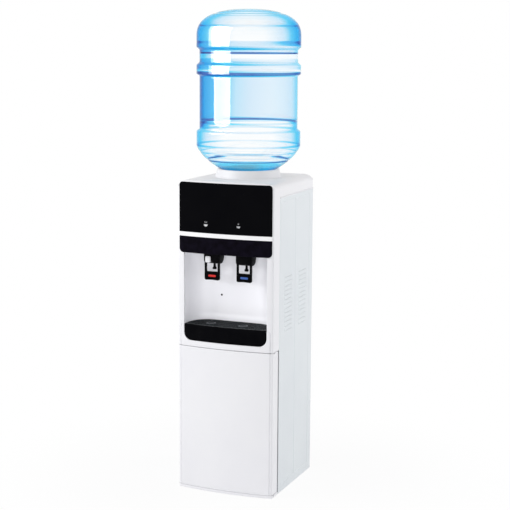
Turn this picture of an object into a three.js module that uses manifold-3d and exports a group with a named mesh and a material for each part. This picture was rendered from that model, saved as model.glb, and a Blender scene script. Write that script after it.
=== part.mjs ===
// A floor-standing hot and cold water dispenser with a large water bottle upside down on top.
// Millimetres, +Z up. The front looks along -Y, +X is on the right of someone who faces the front,
// and the origin is on the floor under the middle of the machine.
import * as THREE from "three";
import { mergeVertices } from "three/addons/utils/BufferGeometryUtils.js";
import Module from "manifold-3d";

// ---- Clearances and wall thicknesses
const GAP = 0.3; // between parts that rest on or sit in each other
const SHELL = 3; // white mouldings
const LINER_WALL = 2.5; // niche and cabinet liners
const SHEET = 1.2; // steel panels

// ---- Cabinet
const BODY_WIDTH = 290;
const BODY_DEPTH = 310; // from the front corners to the back panel
const BODY_HEIGHT = 896;
const FRONT_BOW = 12; // how far the middle of the front stands before its corners
const CORNER_R = 8; // upright corners of the front
const TOP_EDGE_R = 15; // top edge at the sides and the back
const TOP_FRONT_R = 6; // top edge at the front
const WRAP = 46; // how far the front mouldings reach round the sides
const CAP_DEPTH = 43; // height of the top cap's skirt
const REAR_STANDOUT = 8; // drain cap behind the back panel
const FOOT_R = 15;
const FOOT_H = 6;
const FOOT_INSET_X = 35; // from the side of the body to the middle of a foot
const FOOT_INSET_Y = 40;
const BASE_T = 2; // base plate

// ---- Side panels
const PANEL_RELIEF = 0.8; // how far the raised fields stand out of the sheet
const FIELD_BOTTOM = 32;
const FIELD_TOP_MARGIN = 13; // below the top cap
const FIELD_FRONT_MARGIN = 19; // behind the front moulding
const FIELD_RIB = 8; // bare strip between the two fields
const FIELD_BACK_MARGIN = 27;
const VENT_COUNT = 12;
const VENT_PITCH = 12.4;
const VENT_SLOT = 5;
const VENT_RISE = 52.5; // from the bottom of the front frame to the lowest slot
const VENT_MARGIN = 22; // from a field's edge to the end of its slots

// ---- Black front panel
const PANEL_TOP_MARGIN = 5; // from the top of the body
const PANEL_H = 200; // panel, strip and band together
const PANEL_SIDE_MARGIN = 4.5;
const PANEL_PROUD = 2;
const PANEL_POCKET = 1.5; // depth of its pocket in the front
const PANEL_TOP_R = 10;
const PANEL_BOTTOM_R = 12;
const BAND_H = 47; // black band from the niche up to the strip
const STRIP_H = 12;
const LAMP_R = 6;
const LAMP_X = 50;
const LAMP_RISE = 36; // from the strip's lower edge to the lamps
const BOARD_WIDTH = 140;
const BOARD_H = 36;
const BOARD_T = 1.6;
const BOARD_SETBACK = 12; // board behind the front wall

// ---- Niche and drip tray
const NICHE_H = 205;
const NICHE_HALF_W = 126;
const NICHE_BACK_FROM_FRONT = 82; // from the front corners to the back wall
const NICHE_R = 36;
const TRAY_H = 46;
const TRAY_BOTTOM_R = 20;
const TRAY_CLEAR = 0.8; // round the tray
const TRAY_WALL = 2.2;
const GRILLE_T = 2.5;
const GRILLE_RIM = 6;
const GRILLE_LEDGE = 3;
const GRILLE_SLOT = 8;
const GRILLE_BAR = 6;

// ---- Taps
const TAP_X = 49;
const TAP_W = 47;
const TAP_DEPTH = 35;
const TAP_H = 31;
const TAP_SETBACK = 17; // from the front corners to the front of a tap
const TAP_FRONT_WALL = 2.2;
const TAP_STUB_R = 14;
const TAP_STUB_H = 18; // above the ceiling of the niche
const WATER_BORE_R = 3;
const LEVER_W = 45;
const LEVER_T = 4;
const LEVER_DROP = 47; // below the tap
const LEVER_TONGUE_W = 40;
const LEVER_FRAME = 4.5;
const LEVER_FOOT = 24.5; // solid lower part of the lever
const LEVER_EYE_R = 3.6;
const LEVER_EYE_DROP = 13; // from the niche's ceiling to the lever's pin
const PIN_R = 1.5;
const LABEL_W = 25;
const LABEL_H = 7.5;
const LABEL_T = 0.8;
const LABEL_RISE = 8.5; // from the lever's end to the label
const NOZZLE_R = 6;
const NOZZLE_SPIGOT_R = 4.5;
const NOZZLE_SPIGOT_H = 8;
const NOZZLE_DROP = 18; // below the tap
const NOZZLE_BACK = 19; // from the tap's front to the nozzle's axis
const LOCK_W = 17.6;
const LOCK_H = 19;
const LOCK_T = 2.4;
const LOCK_OFFSET = 8; // left of the tap's middle
const LOCK_STEM_R = 3;
const LOCK_TRAVEL = 1.5;

// ---- Door
const SILL_H = 19; // from the door up to the drip tray
const DOOR_GAP = 1.5;
const HINGE_INSET = 6; // from the side of the door to the hinge pin
const HINGE_BACK = 5; // from the door's rear edge to the hinge pin
const HINGE_PIN_R = 2.5;
const HINGE_HEAD_R = 4;
const HINGE_HEAD_T = 1.4;
const HINGE_BOSS_R = 6;
const HINGE_BOSS_H = 13;
const MAGNET_Z = 200;
const MAGNET_H = 40;
const MAGNET_W = 10;
const MAGNET_DEPTH = 12;
const STRIKE_T = 2;

// ---- Storage cabinet
const LINER_SIDE = 15; // from the side of the body to the liner
const LINER_BACK = 28; // from the back panel to the liner
const LINER_SKID_W = 12;
const LINER_FRONT_BACK = 12; // from the front corners to the liner's mouth
const LINER_RISE = 6; // above the bottom edge of the door

// ---- Bottle seat
const BOTTLE_FROM_BACK = 148; // from the back panel to the bottle's axis
const COLLAR_FLANGE_R = 95;
const COLLAR_BULGE_R = 91.4;
const COLLAR_RIM_R = 85;
const COLLAR_H = 23;
const COLLAR_WALL = 2.4;
const COLLAR_LIP = 1.5; // thickness of the flange
const COLLAR_ROUND = 0.6;
const COLLAR_SKIRT_R = 77.7;
const COLLAR_SKIRT_H = 10; // below the top of the body
const FUNNEL_R = 90;
const WELL_R = 36;
const WELL_FLOOR_DROP = 58; // below the top of the body
const WELL_H = 22;
const FUNNEL_WALL = 2.2;
const PROBE_R = 10;
const PROBE_BORE_R = 6;
const PROBE_H = 19;
const SPIGOT_R = 11.5;
const SPIGOT_H = 12;

// ---- Bottle
const BOTTLE_R = 148.4; // its two bands
const BOTTLE_GROOVE = 8.6; // how far the barrel lies inside the bands
const BOTTLE_WALL = 2;
const BOTTLE_SHOULDER_H = 68; // from the collar's rim to the lowest band
const BOTTLE_LOW_BAND_H = 17;
const BOTTLE_EASE_H = 17; // slope between a band and the barrel
const BOTTLE_BARREL_H = 144;
const BOTTLE_MID_BAND_H = 25;
const BOTTLE_GROOVE_H = 25;
const BOTTLE_TOP_BAND_H = 26;
const BOTTLE_DOME_H = 77;
const NECK_H = 28; // straight part
const NECK_R = 27.5;
const NECK_WALL = 2.2;
const NECK_CLEAR = 7; // above the floor of the well
const BOTTLE_CAP_R = 30;
const BOTTLE_CAP_T = 2;
const BOTTLE_CAP_H = 22;

// ---- Cold side
const COLD_TANK_R = 58;
const COLD_TANK_H = 112;
const TANK_WALL = 1.5;
const FOAM_SIDE = 12; // foam round the tank
const FOAM_BOTTOM = 6;
const FOAM_CLEAR = 1.6; // round a hose
const COLD_PLATE_W = 44;
const PELTIER_W = 40;
const PELTIER_T = 3.8;
const SINK_W = 90;
const SINK_H = 92;
const SINK_BASE = 6;
const SINK_FIN = 1.6;
const SINK_FINS = 11;
const FAN_W = 92;
const FAN_T = 25;
const FAN_BORE_R = 43;
const FAN_HUB_R = 17;
const FAN_BLADES = 7;
const FAN_BLADE_T = 2;
const FAN_STRUT = 5;

// ---- Hot side
const SHELF_T = 1.5;
const HOT_TANK_R = 42;
const HOT_TANK_H = 130;
const HOT_TANK_X = -50;
const HOT_TANK_Y = 45;
const HEATER_T = 5;
const HEATER_H = 30;
const HEATER_RISE = 40;
const THERMOSTAT_R = 9;
const THERMOSTAT_H = 9;
const TUBE_R = 4;
const TUBE_BEND = 26; // room a hose takes to turn
const TUBE_BORE_R = 2.6;
const DRAIN_R = 6;
const DRAIN_RISE = 14;
const DRAIN_CAP_R = 11;
const DRAIN_CAP_T = 2;

// ---- Power
const SUPPLY_W = 95;
const SUPPLY_D = 100;
const SUPPLY_H = 42;
const SUPPLY_INSET = 70;
const SUPPLY_Y = 85;
const SWITCH_W = 12;
const SWITCH_H = 20;
const SWITCH_FLANGE = 4;
const SWITCH_DEPTH = 10;
const SWITCH_FLANGE_T = 2;
const SWITCH_ROCK = 8; // degrees to each side
const SWITCH_PITCH = 24;
const SWITCH_INSET = 60; // from the side of the body
const SWITCH_DROP = 51; // below the niche's ceiling
const GLAND_R = 7;
const GLAND_FLANGE_R = 11;
const GLAND_FLANGE_T = 3;
const GLAND_DEPTH = 9;
const GLAND_INSET = 45;
const GLAND_RISE = 93; // above the shelf

// ---- Fineness of the curved surfaces
const ROUND = 32;
const SMALL_ROUND = 14;
const BOW_STEPS = 6;
const CORNER_STEPS = 2;
const HOSE_STEPS = 3;

// ---- Places worked out from the sizes above
const HALF_W = BODY_WIDTH / 2;
const BACK_Y = (BODY_DEPTH + FRONT_BOW + PANEL_PROUD - REAR_STANDOUT) / 2;
const FRONT_Y = BACK_Y - BODY_DEPTH; // the front corners
const FAR = 2 * (BODY_WIDTH + BODY_DEPTH); // longer than any cut needs
const WRAP_BACK = FRONT_Y + WRAP;
const CAP_BOTTOM = BODY_HEIGHT - CAP_DEPTH;
const TOP_INNER = BODY_HEIGHT - SHELL;
const BASE_BOTTOM = FOOT_H + GAP;
const BASE_TOP = BASE_BOTTOM + BASE_T;
const DOOR_BOTTOM = BASE_TOP + DOOR_GAP;
const SHEET_OUTER = HALF_W - PANEL_RELIEF;
const SHEET_INNER = SHEET_OUTER - SHEET;
const BACK_INNER = BACK_Y - SHEET;
const PANEL_HALF_W = HALF_W - PANEL_SIDE_MARGIN;
const PANEL_TOP = BODY_HEIGHT - PANEL_TOP_MARGIN;
const NICHE_TOP = PANEL_TOP - PANEL_H;
const STRIP_Z = NICHE_TOP + BAND_H;
const LAMP_Z = STRIP_Z + LAMP_RISE;
const NICHE_BACK = FRONT_Y + NICHE_BACK_FROM_FRONT;
const TRAY_BOTTOM = NICHE_TOP - NICHE_H - TRAY_H;
const LINER_FLOOR = TRAY_BOTTOM - GAP;
const DOOR_TOP = TRAY_BOTTOM - SILL_H;
const FRAME_BOTTOM = DOOR_TOP + DOOR_GAP;
const TRAY_TOP = TRAY_BOTTOM + TRAY_H;
const TAP_FRONT = FRONT_Y + TAP_SETBACK;
const TAP_TOP = NICHE_TOP - GAP;
const TAP_BOTTOM = NICHE_TOP - TAP_H;
const STUB_TOP = NICHE_TOP + LINER_WALL + TAP_STUB_H;
const STUB_Y = TAP_FRONT + NOZZLE_BACK;
const TUBE_Z = NICHE_TOP + LINER_WALL + TAP_STUB_H / 2;
const LEVER_FRONT = TAP_FRONT + TAP_FRONT_WALL + 1;
const LEVER_END = TAP_BOTTOM - LEVER_DROP;
const LEVER_PIVOT_Z = NICHE_TOP - LEVER_EYE_DROP;
const LEVER_PIVOT_Y = TAP_FRONT + TAP_FRONT_WALL + LEVER_EYE_R + 0.5;
const LOCK_Z = (TAP_BOTTOM + NICHE_TOP) / 2 - 2;
const DOOR_BACK = WRAP_BACK - DOOR_GAP;
const HINGE_X = HINGE_INSET - HALF_W;
const HINGE_Y = DOOR_BACK - HINGE_BACK;
const LINER_HALF_W = HALF_W - LINER_SIDE;
const LINER_MOUTH_Y = FRONT_Y + LINER_FRONT_BACK;
const LINER_REAR_Y = BACK_Y - LINER_BACK;
const LINER_BOTTOM = DOOR_BOTTOM + LINER_RISE;
const LINER_TOP = DOOR_TOP - LINER_RISE;
const SHELF_Z = FRAME_BOTTOM + SHELL + GAP;
const SHELF_TOP = SHELF_Z + SHELF_T;
const BOTTLE_Y = BACK_Y - BOTTLE_FROM_BACK;
const COLLAR_RIM_Z = BODY_HEIGHT + COLLAR_H;
const COLLAR_HOLE_R = COLLAR_SKIRT_R + GAP;
const SEAT_R = COLLAR_RIM_R - COLLAR_WALL + COLLAR_ROUND; // inner edge of the collar's rim
const WELL_FLOOR = BODY_HEIGHT - WELL_FLOOR_DROP;
const WELL_TOP = WELL_FLOOR + WELL_H;
const PROBE_TOP = WELL_FLOOR + PROBE_H;
const NECK_BOTTOM = WELL_FLOOR + NECK_CLEAR;
const TANK_TOP = WELL_FLOOR - FUNNEL_WALL - GAP;
const TANK_BOTTOM = TANK_TOP - COLD_TANK_H;
const FOAM_LOW = TANK_BOTTOM - GAP - FOAM_BOTTOM;
const PELTIER_Z = (TANK_BOTTOM + TANK_TOP) / 2; // middle
const FOAM_R = COLD_TANK_R + FOAM_SIDE;
const FAN_Y = BACK_INNER - GAP - FAN_T;
const HOT_TANK_BOTTOM = SHELF_TOP + GAP;
const HOT_TANK_TOP = HOT_TANK_BOTTOM + HOT_TANK_H;
const DRAIN_Z = HOT_TANK_BOTTOM + DRAIN_RISE;
const SWITCH_X = HALF_W - SWITCH_INSET;
const SWITCH_Z = NICHE_TOP - SWITCH_DROP;
const GLAND_X = HALF_W - GLAND_INSET;
const GLAND_Z = SHELF_TOP + GLAND_RISE;
const SUPPLY_X = HALF_W - SUPPLY_INSET;

// ---- Materials
const material = (color, roughness, metalness = 0, more = {}) =>
  new THREE.MeshStandardMaterial({ color, roughness, metalness, ...more });
const WHITE = material(0xf3f3f5, 0.35);
const PANEL_WHITE = material(0xe4e9ec, 0.4, 0.1);
const BLACK_GLOSS = material(0x08080b, 0.12);
const BLACK = material(0x0e0f12, 0.45);
const SLATE = material(0x2c3238, 0.5);
const STEEL = material(0xc8cbcd, 0.35, 0.9);
const ALUMINIUM = material(0xb8bbbf, 0.4, 0.8);
const FOAM = material(0xf0f0ea, 0.9);
const SILICONE = material(0xe6e2da, 0.5);
const RED = material(0xe03528, 0.4);
const BLUE = material(0x3d6fc8, 0.4);
const RUBBER = material(0x1b1b1d, 0.8);
const BOARD_GREEN = material(0x1f6b3a, 0.5);
const CERAMIC = material(0xeceae4, 0.6);
const BOTTLE_PLASTIC = material(0x9fdcf5, 0.08, 0, { transparent: true, opacity: 0.4 });

// ---- Geometry helpers
const wasm = await Module();
wasm.setup();

// A closed three.js geometry as a solid that can be joined and cut.
function solid(geometry) {
  const bare = geometry.clone();
  bare.deleteAttribute("normal");
  bare.deleteAttribute("uv");
  const merged = mergeVertices(bare, 1e-3);
  return new wasm.Manifold(
    new wasm.Mesh({
      numProp: 3,
      vertProperties: new Float32Array(merged.attributes.position.array),
      triVerts: new Uint32Array(merged.index.array),
    }),
  );
}

// A solid back as a three.js geometry with flat-shaded normals.
function geometryOf(made) {
  const mesh = made.getMesh();
  const geometry = new THREE.BufferGeometry();
  geometry.setAttribute("position", new THREE.BufferAttribute(mesh.vertProperties, mesh.numProp));
  geometry.setIndex(new THREE.BufferAttribute(mesh.triVerts, 1));
  geometry.computeVertexNormals();
  return geometry;
}

const join = (first, ...others) => others.reduce((sum, next) => sum.add(next), first);
const cut = (first, ...others) => others.reduce((rest, next) => rest.subtract(next), first);

// A closed outline through corners [x, y, radius]; a corner with a radius is rounded with an arc.
function outline(corners) {
  const path = new THREE.Shape();
  const count = corners.length;
  corners.forEach(([x, y, radius = 0], i) => {
    const at = new THREE.Vector2(x, y);
    const before = corners[(i + count - 1) % count];
    const after = corners[(i + 1) % count];
    const u = new THREE.Vector2(before[0], before[1]).sub(at).normalize();
    const v = new THREE.Vector2(after[0], after[1]).sub(at).normalize();
    const move = i === 0 ? "moveTo" : "lineTo";
    if (radius === 0) {
      path[move](x, y);
      return;
    }
    const half = Math.acos(THREE.MathUtils.clamp(u.dot(v), -1, 1)) / 2;
    const reach = radius / Math.tan(half);
    const start = at.clone().addScaledVector(u, reach);
    const end = at.clone().addScaledVector(v, reach);
    const middle = at.clone().addScaledVector(u.clone().add(v).normalize(), radius / Math.sin(half));
    path[move](start.x, start.y);
    const from = Math.atan2(start.y - middle.y, start.x - middle.x);
    const to = Math.atan2(end.y - middle.y, end.x - middle.x);
    path.absarc(middle.x, middle.y, radius, from, to, u.cross(v) > 0);
  });
  return path;
}

const rectangle = (x0, x1, y0, y1, low = 0, high = low) =>
  outline([
    [x0, y0, low],
    [x1, y0, low],
    [x1, y1, high],
    [x0, y1, high],
  ]);

function disc(x, y, radius) {
  const path = new THREE.Shape();
  path.absarc(x, y, radius, 0, 2 * Math.PI, false);
  return path;
}

const extruded = (shape, depth, curveSegments = CORNER_STEPS) =>
  new THREE.ExtrudeGeometry(shape, { depth, bevelEnabled: false, curveSegments });

// A shape drawn in X and Y, standing from z0 to z1.
const standing = (shape, z0, z1) => solid(extruded(shape, z1 - z0).translate(0, 0, z0));

// A shape drawn in X and Z, reaching from y0 back to y1.
const facing = (shape, y0, y1) => solid(extruded(shape, y1 - y0).rotateX(Math.PI / 2).translate(0, y1, 0));

// A shape drawn in Y and Z, reaching from x0 to x1.
const SIDEWAYS = new THREE.Matrix4().makeBasis(
  new THREE.Vector3(0, 1, 0),
  new THREE.Vector3(0, 0, 1),
  new THREE.Vector3(1, 0, 0),
);
const across = (shape, x0, x1) => solid(extruded(shape, x1 - x0).applyMatrix4(SIDEWAYS).translate(x0, 0, 0));

const box = (x0, x1, y0, y1, z0, z1) =>
  solid(
    new THREE.BoxGeometry(x1 - x0, y1 - y0, z1 - z0).translate((x0 + x1) / 2, (y0 + y1) / 2, (z0 + z1) / 2),
  );

// A profile of [radius, z] turned round the upright line through (x, y).
function turned(profile, x, y, segments = ROUND) {
  const points = profile.map(([radius, z]) => new THREE.Vector2(radius, z));
  return solid(new THREE.LatheGeometry(points, segments).rotateX(Math.PI / 2).translate(x, y, 0));
}

// The same round a line along Y through (x, z); the profile is [radius, y].
function turnedY(profile, x, z, segments = SMALL_ROUND) {
  const points = profile.map(([radius, y]) => new THREE.Vector2(radius, y));
  return solid(new THREE.LatheGeometry(points, segments).translate(x, 0, z));
}

const rod = (x, y, radius, z0, z1, segments = SMALL_ROUND) =>
  turned([[0, z0], [radius, z0], [radius, z1], [0, z1]], x, y, segments);

const rodY = (x, z, radius, y0, y1, segments = SMALL_ROUND) =>
  turnedY([[0, y0], [radius, y0], [radius, y1], [0, y1]], x, z, segments);

function rodX(x0, x1, y, z, radius) {
  const bar = new THREE.CylinderGeometry(radius, radius, x1 - x0, SMALL_ROUND);
  return solid(bar.rotateZ(Math.PI / 2).translate((x0 + x1) / 2, y, z));
}

// A hose of round section along a smooth line through the points.
function hose(points, steps) {
  const section = disc(0, 0, TUBE_R);
  section.holes.push(disc(0, 0, TUBE_BORE_R));
  const route = new THREE.CatmullRomCurve3(points.map((p) => new THREE.Vector3(...p)));
  return new THREE.ExtrudeGeometry(section, {
    steps,
    extrudePath: route,
    bevelEnabled: false,
    curveSegments: HOSE_STEPS,
  });
}

// ---- The bowed front
const bowY = (x) => FRONT_Y - FRONT_BOW * (1 - (x / HALF_W) ** 2);

const BOARD_FRONT = bowY(BOARD_WIDTH / 2) + SHELL + BOARD_SETBACK;

// Points of the bow from +half to -half, a distance behind the front surface.
function bow(half, behind) {
  const points = [];
  for (let i = 0; i <= BOW_STEPS; i += 1) {
    const x = half * (1 - (2 * i) / BOW_STEPS);
    points.push([x, bowY(x) + behind]);
  }
  return points;
}

// Plan of the body from its front back to backY, inset by a wall.
function bodyPlan(inset, backY) {
  const half = HALF_W - inset;
  const radius = Math.max(CORNER_R - inset, 1);
  const points = bow(half, inset);
  points[0].push(radius);
  points[BOW_STEPS].push(radius);
  return outline([[-half, backY], [half, backY], ...points]);
}

// Plan of a plate bent along the bow, between two distances behind the front surface.
const bentPlan = (half, from, to) => outline([...bow(half, from), ...bow(half, to).reverse()]);

// Plan of the niche, open at the front: straight sides, round rear corners.
const nichePlan = (outset) =>
  outline([
    [-NICHE_HALF_W - outset, -FAR / 2],
    [NICHE_HALF_W + outset, -FAR / 2],
    [NICHE_HALF_W + outset, NICHE_BACK + outset, NICHE_R + outset],
    [-NICHE_HALF_W - outset, NICHE_BACK + outset, NICHE_R + outset],
  ]);

const model = new THREE.Group();

// Adds one named piece to a group; the piece is a solid or a plain geometry.
function piece(name, made, look, parent = model) {
  const geometry = made.isBufferGeometry ? made : geometryOf(made);
  const mesh = new THREE.Mesh(geometry, look);
  mesh.name = name;
  parent.add(mesh);
  return mesh;
}

// The block of the body with its rounded top edges, inset by a wall.
function bodyBlock(inset, z0) {
  const half = HALF_W - inset;
  const top = BODY_HEIGHT - inset;
  const plan = standing(bodyPlan(inset, BACK_Y - inset), z0, top);
  const frontView = rectangle(-half, half, z0, top, 0, TOP_EDGE_R - inset);
  const sideView = outline([
    [FRONT_Y - FRONT_BOW - PANEL_PROUD + inset, z0],
    [BACK_Y - inset, z0],
    [BACK_Y - inset, top, TOP_EDGE_R - inset],
    [FRONT_Y - FRONT_BOW - PANEL_PROUD + inset, top, TOP_FRONT_R - inset],
  ]);
  return plan
    .intersect(facing(frontView, -FAR / 2, FAR / 2))
    .intersect(across(sideView, -FAR / 2, FAR / 2));
}

// The pocket that the black panel, the strip and the band below it sit in.
const panelPocket = () =>
  standing(
    bentPlan(PANEL_HALF_W + GAP, -FRONT_BOW, PANEL_POCKET),
    NICHE_TOP - GAP,
    PANEL_TOP + GAP,
  );

// White front frame and top cap, one moulding: it carries the niche, the panel and the collar.
function upperHousing() {
  const windowHalf = NICHE_HALF_W + LINER_WALL + GAP;
  const mouth = rectangle(
    -windowHalf,
    windowHalf,
    LINER_FLOOR - LINER_WALL - GAP,
    NICHE_TOP + LINER_WALL + GAP,
    TRAY_BOTTOM_R + LINER_WALL + GAP,
    0,
  );
  const standoff = (x) => rodY(x, LAMP_Z, LAMP_R / 2, bowY(x) + SHELL - GAP, BOARD_FRONT - GAP);
  const shell = cut(
    bodyBlock(0, FRAME_BOTTOM),
    bodyBlock(SHELL, FRAME_BOTTOM + SHELL),
    box(-FAR, FAR, WRAP_BACK, FAR, 0, CAP_BOTTOM),
    box(-FAR, FAR, WRAP_BACK - SHELL, FAR, 0, FRAME_BOTTOM + SHELL + GAP),
    facing(mouth, -FAR / 2, WRAP_BACK),
    panelPocket(),
    rod(0, BOTTLE_Y, COLLAR_HOLE_R, CAP_BOTTOM, BODY_HEIGHT + SHELL, ROUND),
    rodY(-LAMP_X, LAMP_Z, LAMP_R + GAP, FRONT_Y - FRONT_BOW - SHELL, FRONT_Y),
    rodY(LAMP_X, LAMP_Z, LAMP_R + GAP, FRONT_Y - FRONT_BOW - SHELL, FRONT_Y),
  );
  const lug = box(
    HINGE_X - HINGE_BOSS_R,
    HINGE_X + HINGE_BOSS_R,
    HINGE_Y - HINGE_BOSS_R,
    WRAP_BACK,
    FRAME_BOTTOM,
    FRAME_BOTTOM + SHELL,
  ).intersect(standing(bodyPlan(SHELL / 2, BACK_Y), 0, BODY_HEIGHT));
  const edge = LAMP_X + (BOARD_WIDTH / 2 - LAMP_X) / 2;
  return cut(
    join(shell, lug, standoff(-edge), standoff(edge)),
    rod(HINGE_X, HINGE_Y, HINGE_PIN_R + GAP, 0, FRAME_BOTTOM + 2 * SHELL),
  );
}

// Concave niche with its ceiling, and the bay of the drip tray below it.
function nicheLiner() {
  const bottom = LINER_FLOOR - LINER_WALL;
  const top = NICHE_TOP + LINER_WALL;
  const view = (outset, z1) =>
    facing(
      rectangle(
        -NICHE_HALF_W - outset,
        NICHE_HALF_W + outset,
        LINER_FLOOR - outset,
        z1,
        TRAY_BOTTOM_R + outset,
        0,
      ),
      -FAR / 2,
      FAR / 2,
    );
  const outer = standing(nichePlan(LINER_WALL), bottom, top).intersect(view(LINER_WALL, top));
  const inner = standing(nichePlan(0), LINER_FLOOR, NICHE_TOP).intersect(view(0, NICHE_TOP));
  const shell = cut(outer, inner, panelPocket());
  return cut(
    shell.intersect(standing(bodyPlan(0, BACK_Y), 0, BODY_HEIGHT)),
    rod(-TAP_X, STUB_Y, TAP_STUB_R + GAP, NICHE_TOP - LINER_WALL, top + LINER_WALL),
    rod(TAP_X, STUB_Y, TAP_STUB_R + GAP, NICHE_TOP - LINER_WALL, top + LINER_WALL),
  );
}

// A plate of the front panel between two heights.
function panelPlate(z0, z1, lowR, highR) {
  const plate = standing(bentPlan(PANEL_HALF_W, -PANEL_PROUD, PANEL_POCKET - GAP), z0, z1);
  return plate.intersect(facing(rectangle(-PANEL_HALF_W, PANEL_HALF_W, z0, z1, lowR, highR), -FAR / 2, 0));
}

piece("upper_housing", upperHousing(), WHITE);
piece("niche_liner", nicheLiner(), WHITE);
const lampHole = (x) => rodY(x, LAMP_Z, LAMP_R + GAP, FRONT_Y - FAR / 4, FRONT_Y);
piece(
  "control_panel",
  cut(
    panelPlate(STRIP_Z + STRIP_H + GAP, PANEL_TOP, 0, PANEL_TOP_R),
    lampHole(-LAMP_X),
    lampHole(LAMP_X),
  ),
  BLACK_GLOSS,
);
piece("trim_strip", panelPlate(STRIP_Z, STRIP_Z + STRIP_H, 0, 0), WHITE);
piece("tap_band", panelPlate(NICHE_TOP, STRIP_Z - GAP, PANEL_BOTTOM_R, 0), BLACK_GLOSS);

// Indicator lamps: light guides from the board to the face of the panel.
const lamp = (x) => rodY(x, LAMP_Z, LAMP_R, bowY(x) - PANEL_PROUD + GAP, BOARD_FRONT - GAP);
piece("hot_indicator", lamp(-LAMP_X), BLACK_GLOSS);
piece("cold_indicator", lamp(LAMP_X), BLACK_GLOSS);
piece(
  "display_board",
  box(
    -BOARD_WIDTH / 2,
    BOARD_WIDTH / 2,
    BOARD_FRONT,
    BOARD_FRONT + BOARD_T,
    LAMP_Z - BOARD_H / 2,
    LAMP_Z + BOARD_H / 2,
  ),
  BOARD_GREEN,
);

// ---- Taps
const SLOT_FRONT = TAP_FRONT + TAP_FRONT_WALL;
const SLOT_BACK = STUB_Y - NOZZLE_SPIGOT_R - 2 * GAP;
const LOCK_X = -TAP_X - LOCK_OFFSET;

// Tap body: a block with rounded lower edges, a slot for the lever, and a hollow stub on top.
function tapBody(x) {
  const half = TAP_W / 2;
  const view = outline([
    [TAP_FRONT, TAP_BOTTOM, 3],
    [TAP_FRONT + TAP_DEPTH, TAP_BOTTOM, TAP_H / 3],
    [TAP_FRONT + TAP_DEPTH, TAP_TOP],
    [TAP_FRONT, TAP_TOP, 2],
  ]);
  const slotHalf = LEVER_TONGUE_W / 2 + 2 * GAP;
  return cut(
    join(
      across(view, x - half, x + half),
      rod(x, STUB_Y, TAP_STUB_R, TAP_TOP - SHELL, STUB_TOP),
    ),
    box(
      x - slotHalf,
      x + slotHalf,
      SLOT_FRONT,
      SLOT_BACK,
      TAP_BOTTOM - SHELL,
      LEVER_PIVOT_Z + LEVER_EYE_R + 1,
    ),
    rod(x, STUB_Y, NOZZLE_SPIGOT_R + GAP, TAP_BOTTOM - SHELL, TAP_BOTTOM + NOZZLE_SPIGOT_H),
    rod(x, STUB_Y, WATER_BORE_R, TAP_BOTTOM, STUB_TOP + SHELL),
    rodX(x - TAP_W, x + TAP_W, LEVER_PIVOT_Y, LEVER_PIVOT_Z, PIN_R + GAP),
  );
}

// Push lever: a paddle with a window in front of the nozzle, hung on its pin inside the tap.
function lever(x) {
  const view = join(
    facing(
      rectangle(x - LEVER_W / 2, x + LEVER_W / 2, LEVER_END, TAP_BOTTOM - 2, 6, 2),
      LEVER_FRONT,
      LEVER_FRONT + LEVER_T,
    ),
    facing(
      rectangle(x - LEVER_TONGUE_W / 2, x + LEVER_TONGUE_W / 2, TAP_BOTTOM - 5, LEVER_PIVOT_Z, 0, 0),
      LEVER_FRONT,
      LEVER_FRONT + LEVER_T,
    ),
    rodX(x - LEVER_TONGUE_W / 2, x + LEVER_TONGUE_W / 2, LEVER_PIVOT_Y, LEVER_PIVOT_Z, LEVER_EYE_R),
  );
  const windowHalf = LEVER_W / 2 - LEVER_FRAME;
  return cut(
    view,
    facing(
      rectangle(x - windowHalf, x + windowHalf, LEVER_END + LEVER_FOOT, LEVER_PIVOT_Z - 8, 4, 2),
      LEVER_FRONT - SHELL,
      LEVER_FRONT + 2 * LEVER_T,
    ),
    rodX(x - LEVER_W, x + LEVER_W, LEVER_PIVOT_Y, LEVER_PIVOT_Z, PIN_R + GAP),
  );
}

function leverLabel(x) {
  const low = LEVER_END + LABEL_RISE;
  const view = rectangle(x - LABEL_W / 2, x + LABEL_W / 2, low, low + LABEL_H, LABEL_H / 2 - 0.1);
  return facing(view, LEVER_FRONT - GAP - LABEL_T, LEVER_FRONT - GAP);
}

const nozzle = (x) =>
  turned(
    [
      [WATER_BORE_R, TAP_BOTTOM - NOZZLE_DROP],
      [NOZZLE_R - 1, TAP_BOTTOM - NOZZLE_DROP],
      [NOZZLE_R, TAP_BOTTOM - NOZZLE_DROP + 2],
      [NOZZLE_R, TAP_BOTTOM - GAP],
      [NOZZLE_SPIGOT_R, TAP_BOTTOM - GAP],
      [NOZZLE_SPIGOT_R, TAP_BOTTOM + NOZZLE_SPIGOT_H - GAP],
      [WATER_BORE_R, TAP_BOTTOM + NOZZLE_SPIGOT_H - GAP],
      [WATER_BORE_R, TAP_BOTTOM - NOZZLE_DROP],
    ],
    x,
    STUB_Y,
    SMALL_ROUND,
  );

const lockHole = rodY(LOCK_X, LOCK_Z, LOCK_STEM_R + GAP, TAP_FRONT - SHELL, SLOT_FRONT + GAP);
for (const [side, x, colour] of [["hot", -TAP_X, RED], ["cold", TAP_X, BLUE]]) {
  const body = tapBody(x);
  piece(`${side}_tap_body`, side === "hot" ? body.subtract(lockHole) : body, BLACK);
  piece(`${side}_lever`, lever(x), BLACK);
  piece(`${side}_label`, leverLabel(x), colour);
  piece(`${side}_nozzle`, nozzle(x), BLACK);
  const pinHalf = TAP_W / 2 - 0.5;
  piece(`${side}_lever_pin`, rodX(x - pinHalf, x + pinHalf, LEVER_PIVOT_Y, LEVER_PIVOT_Z, PIN_R), STEEL);
}

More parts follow.
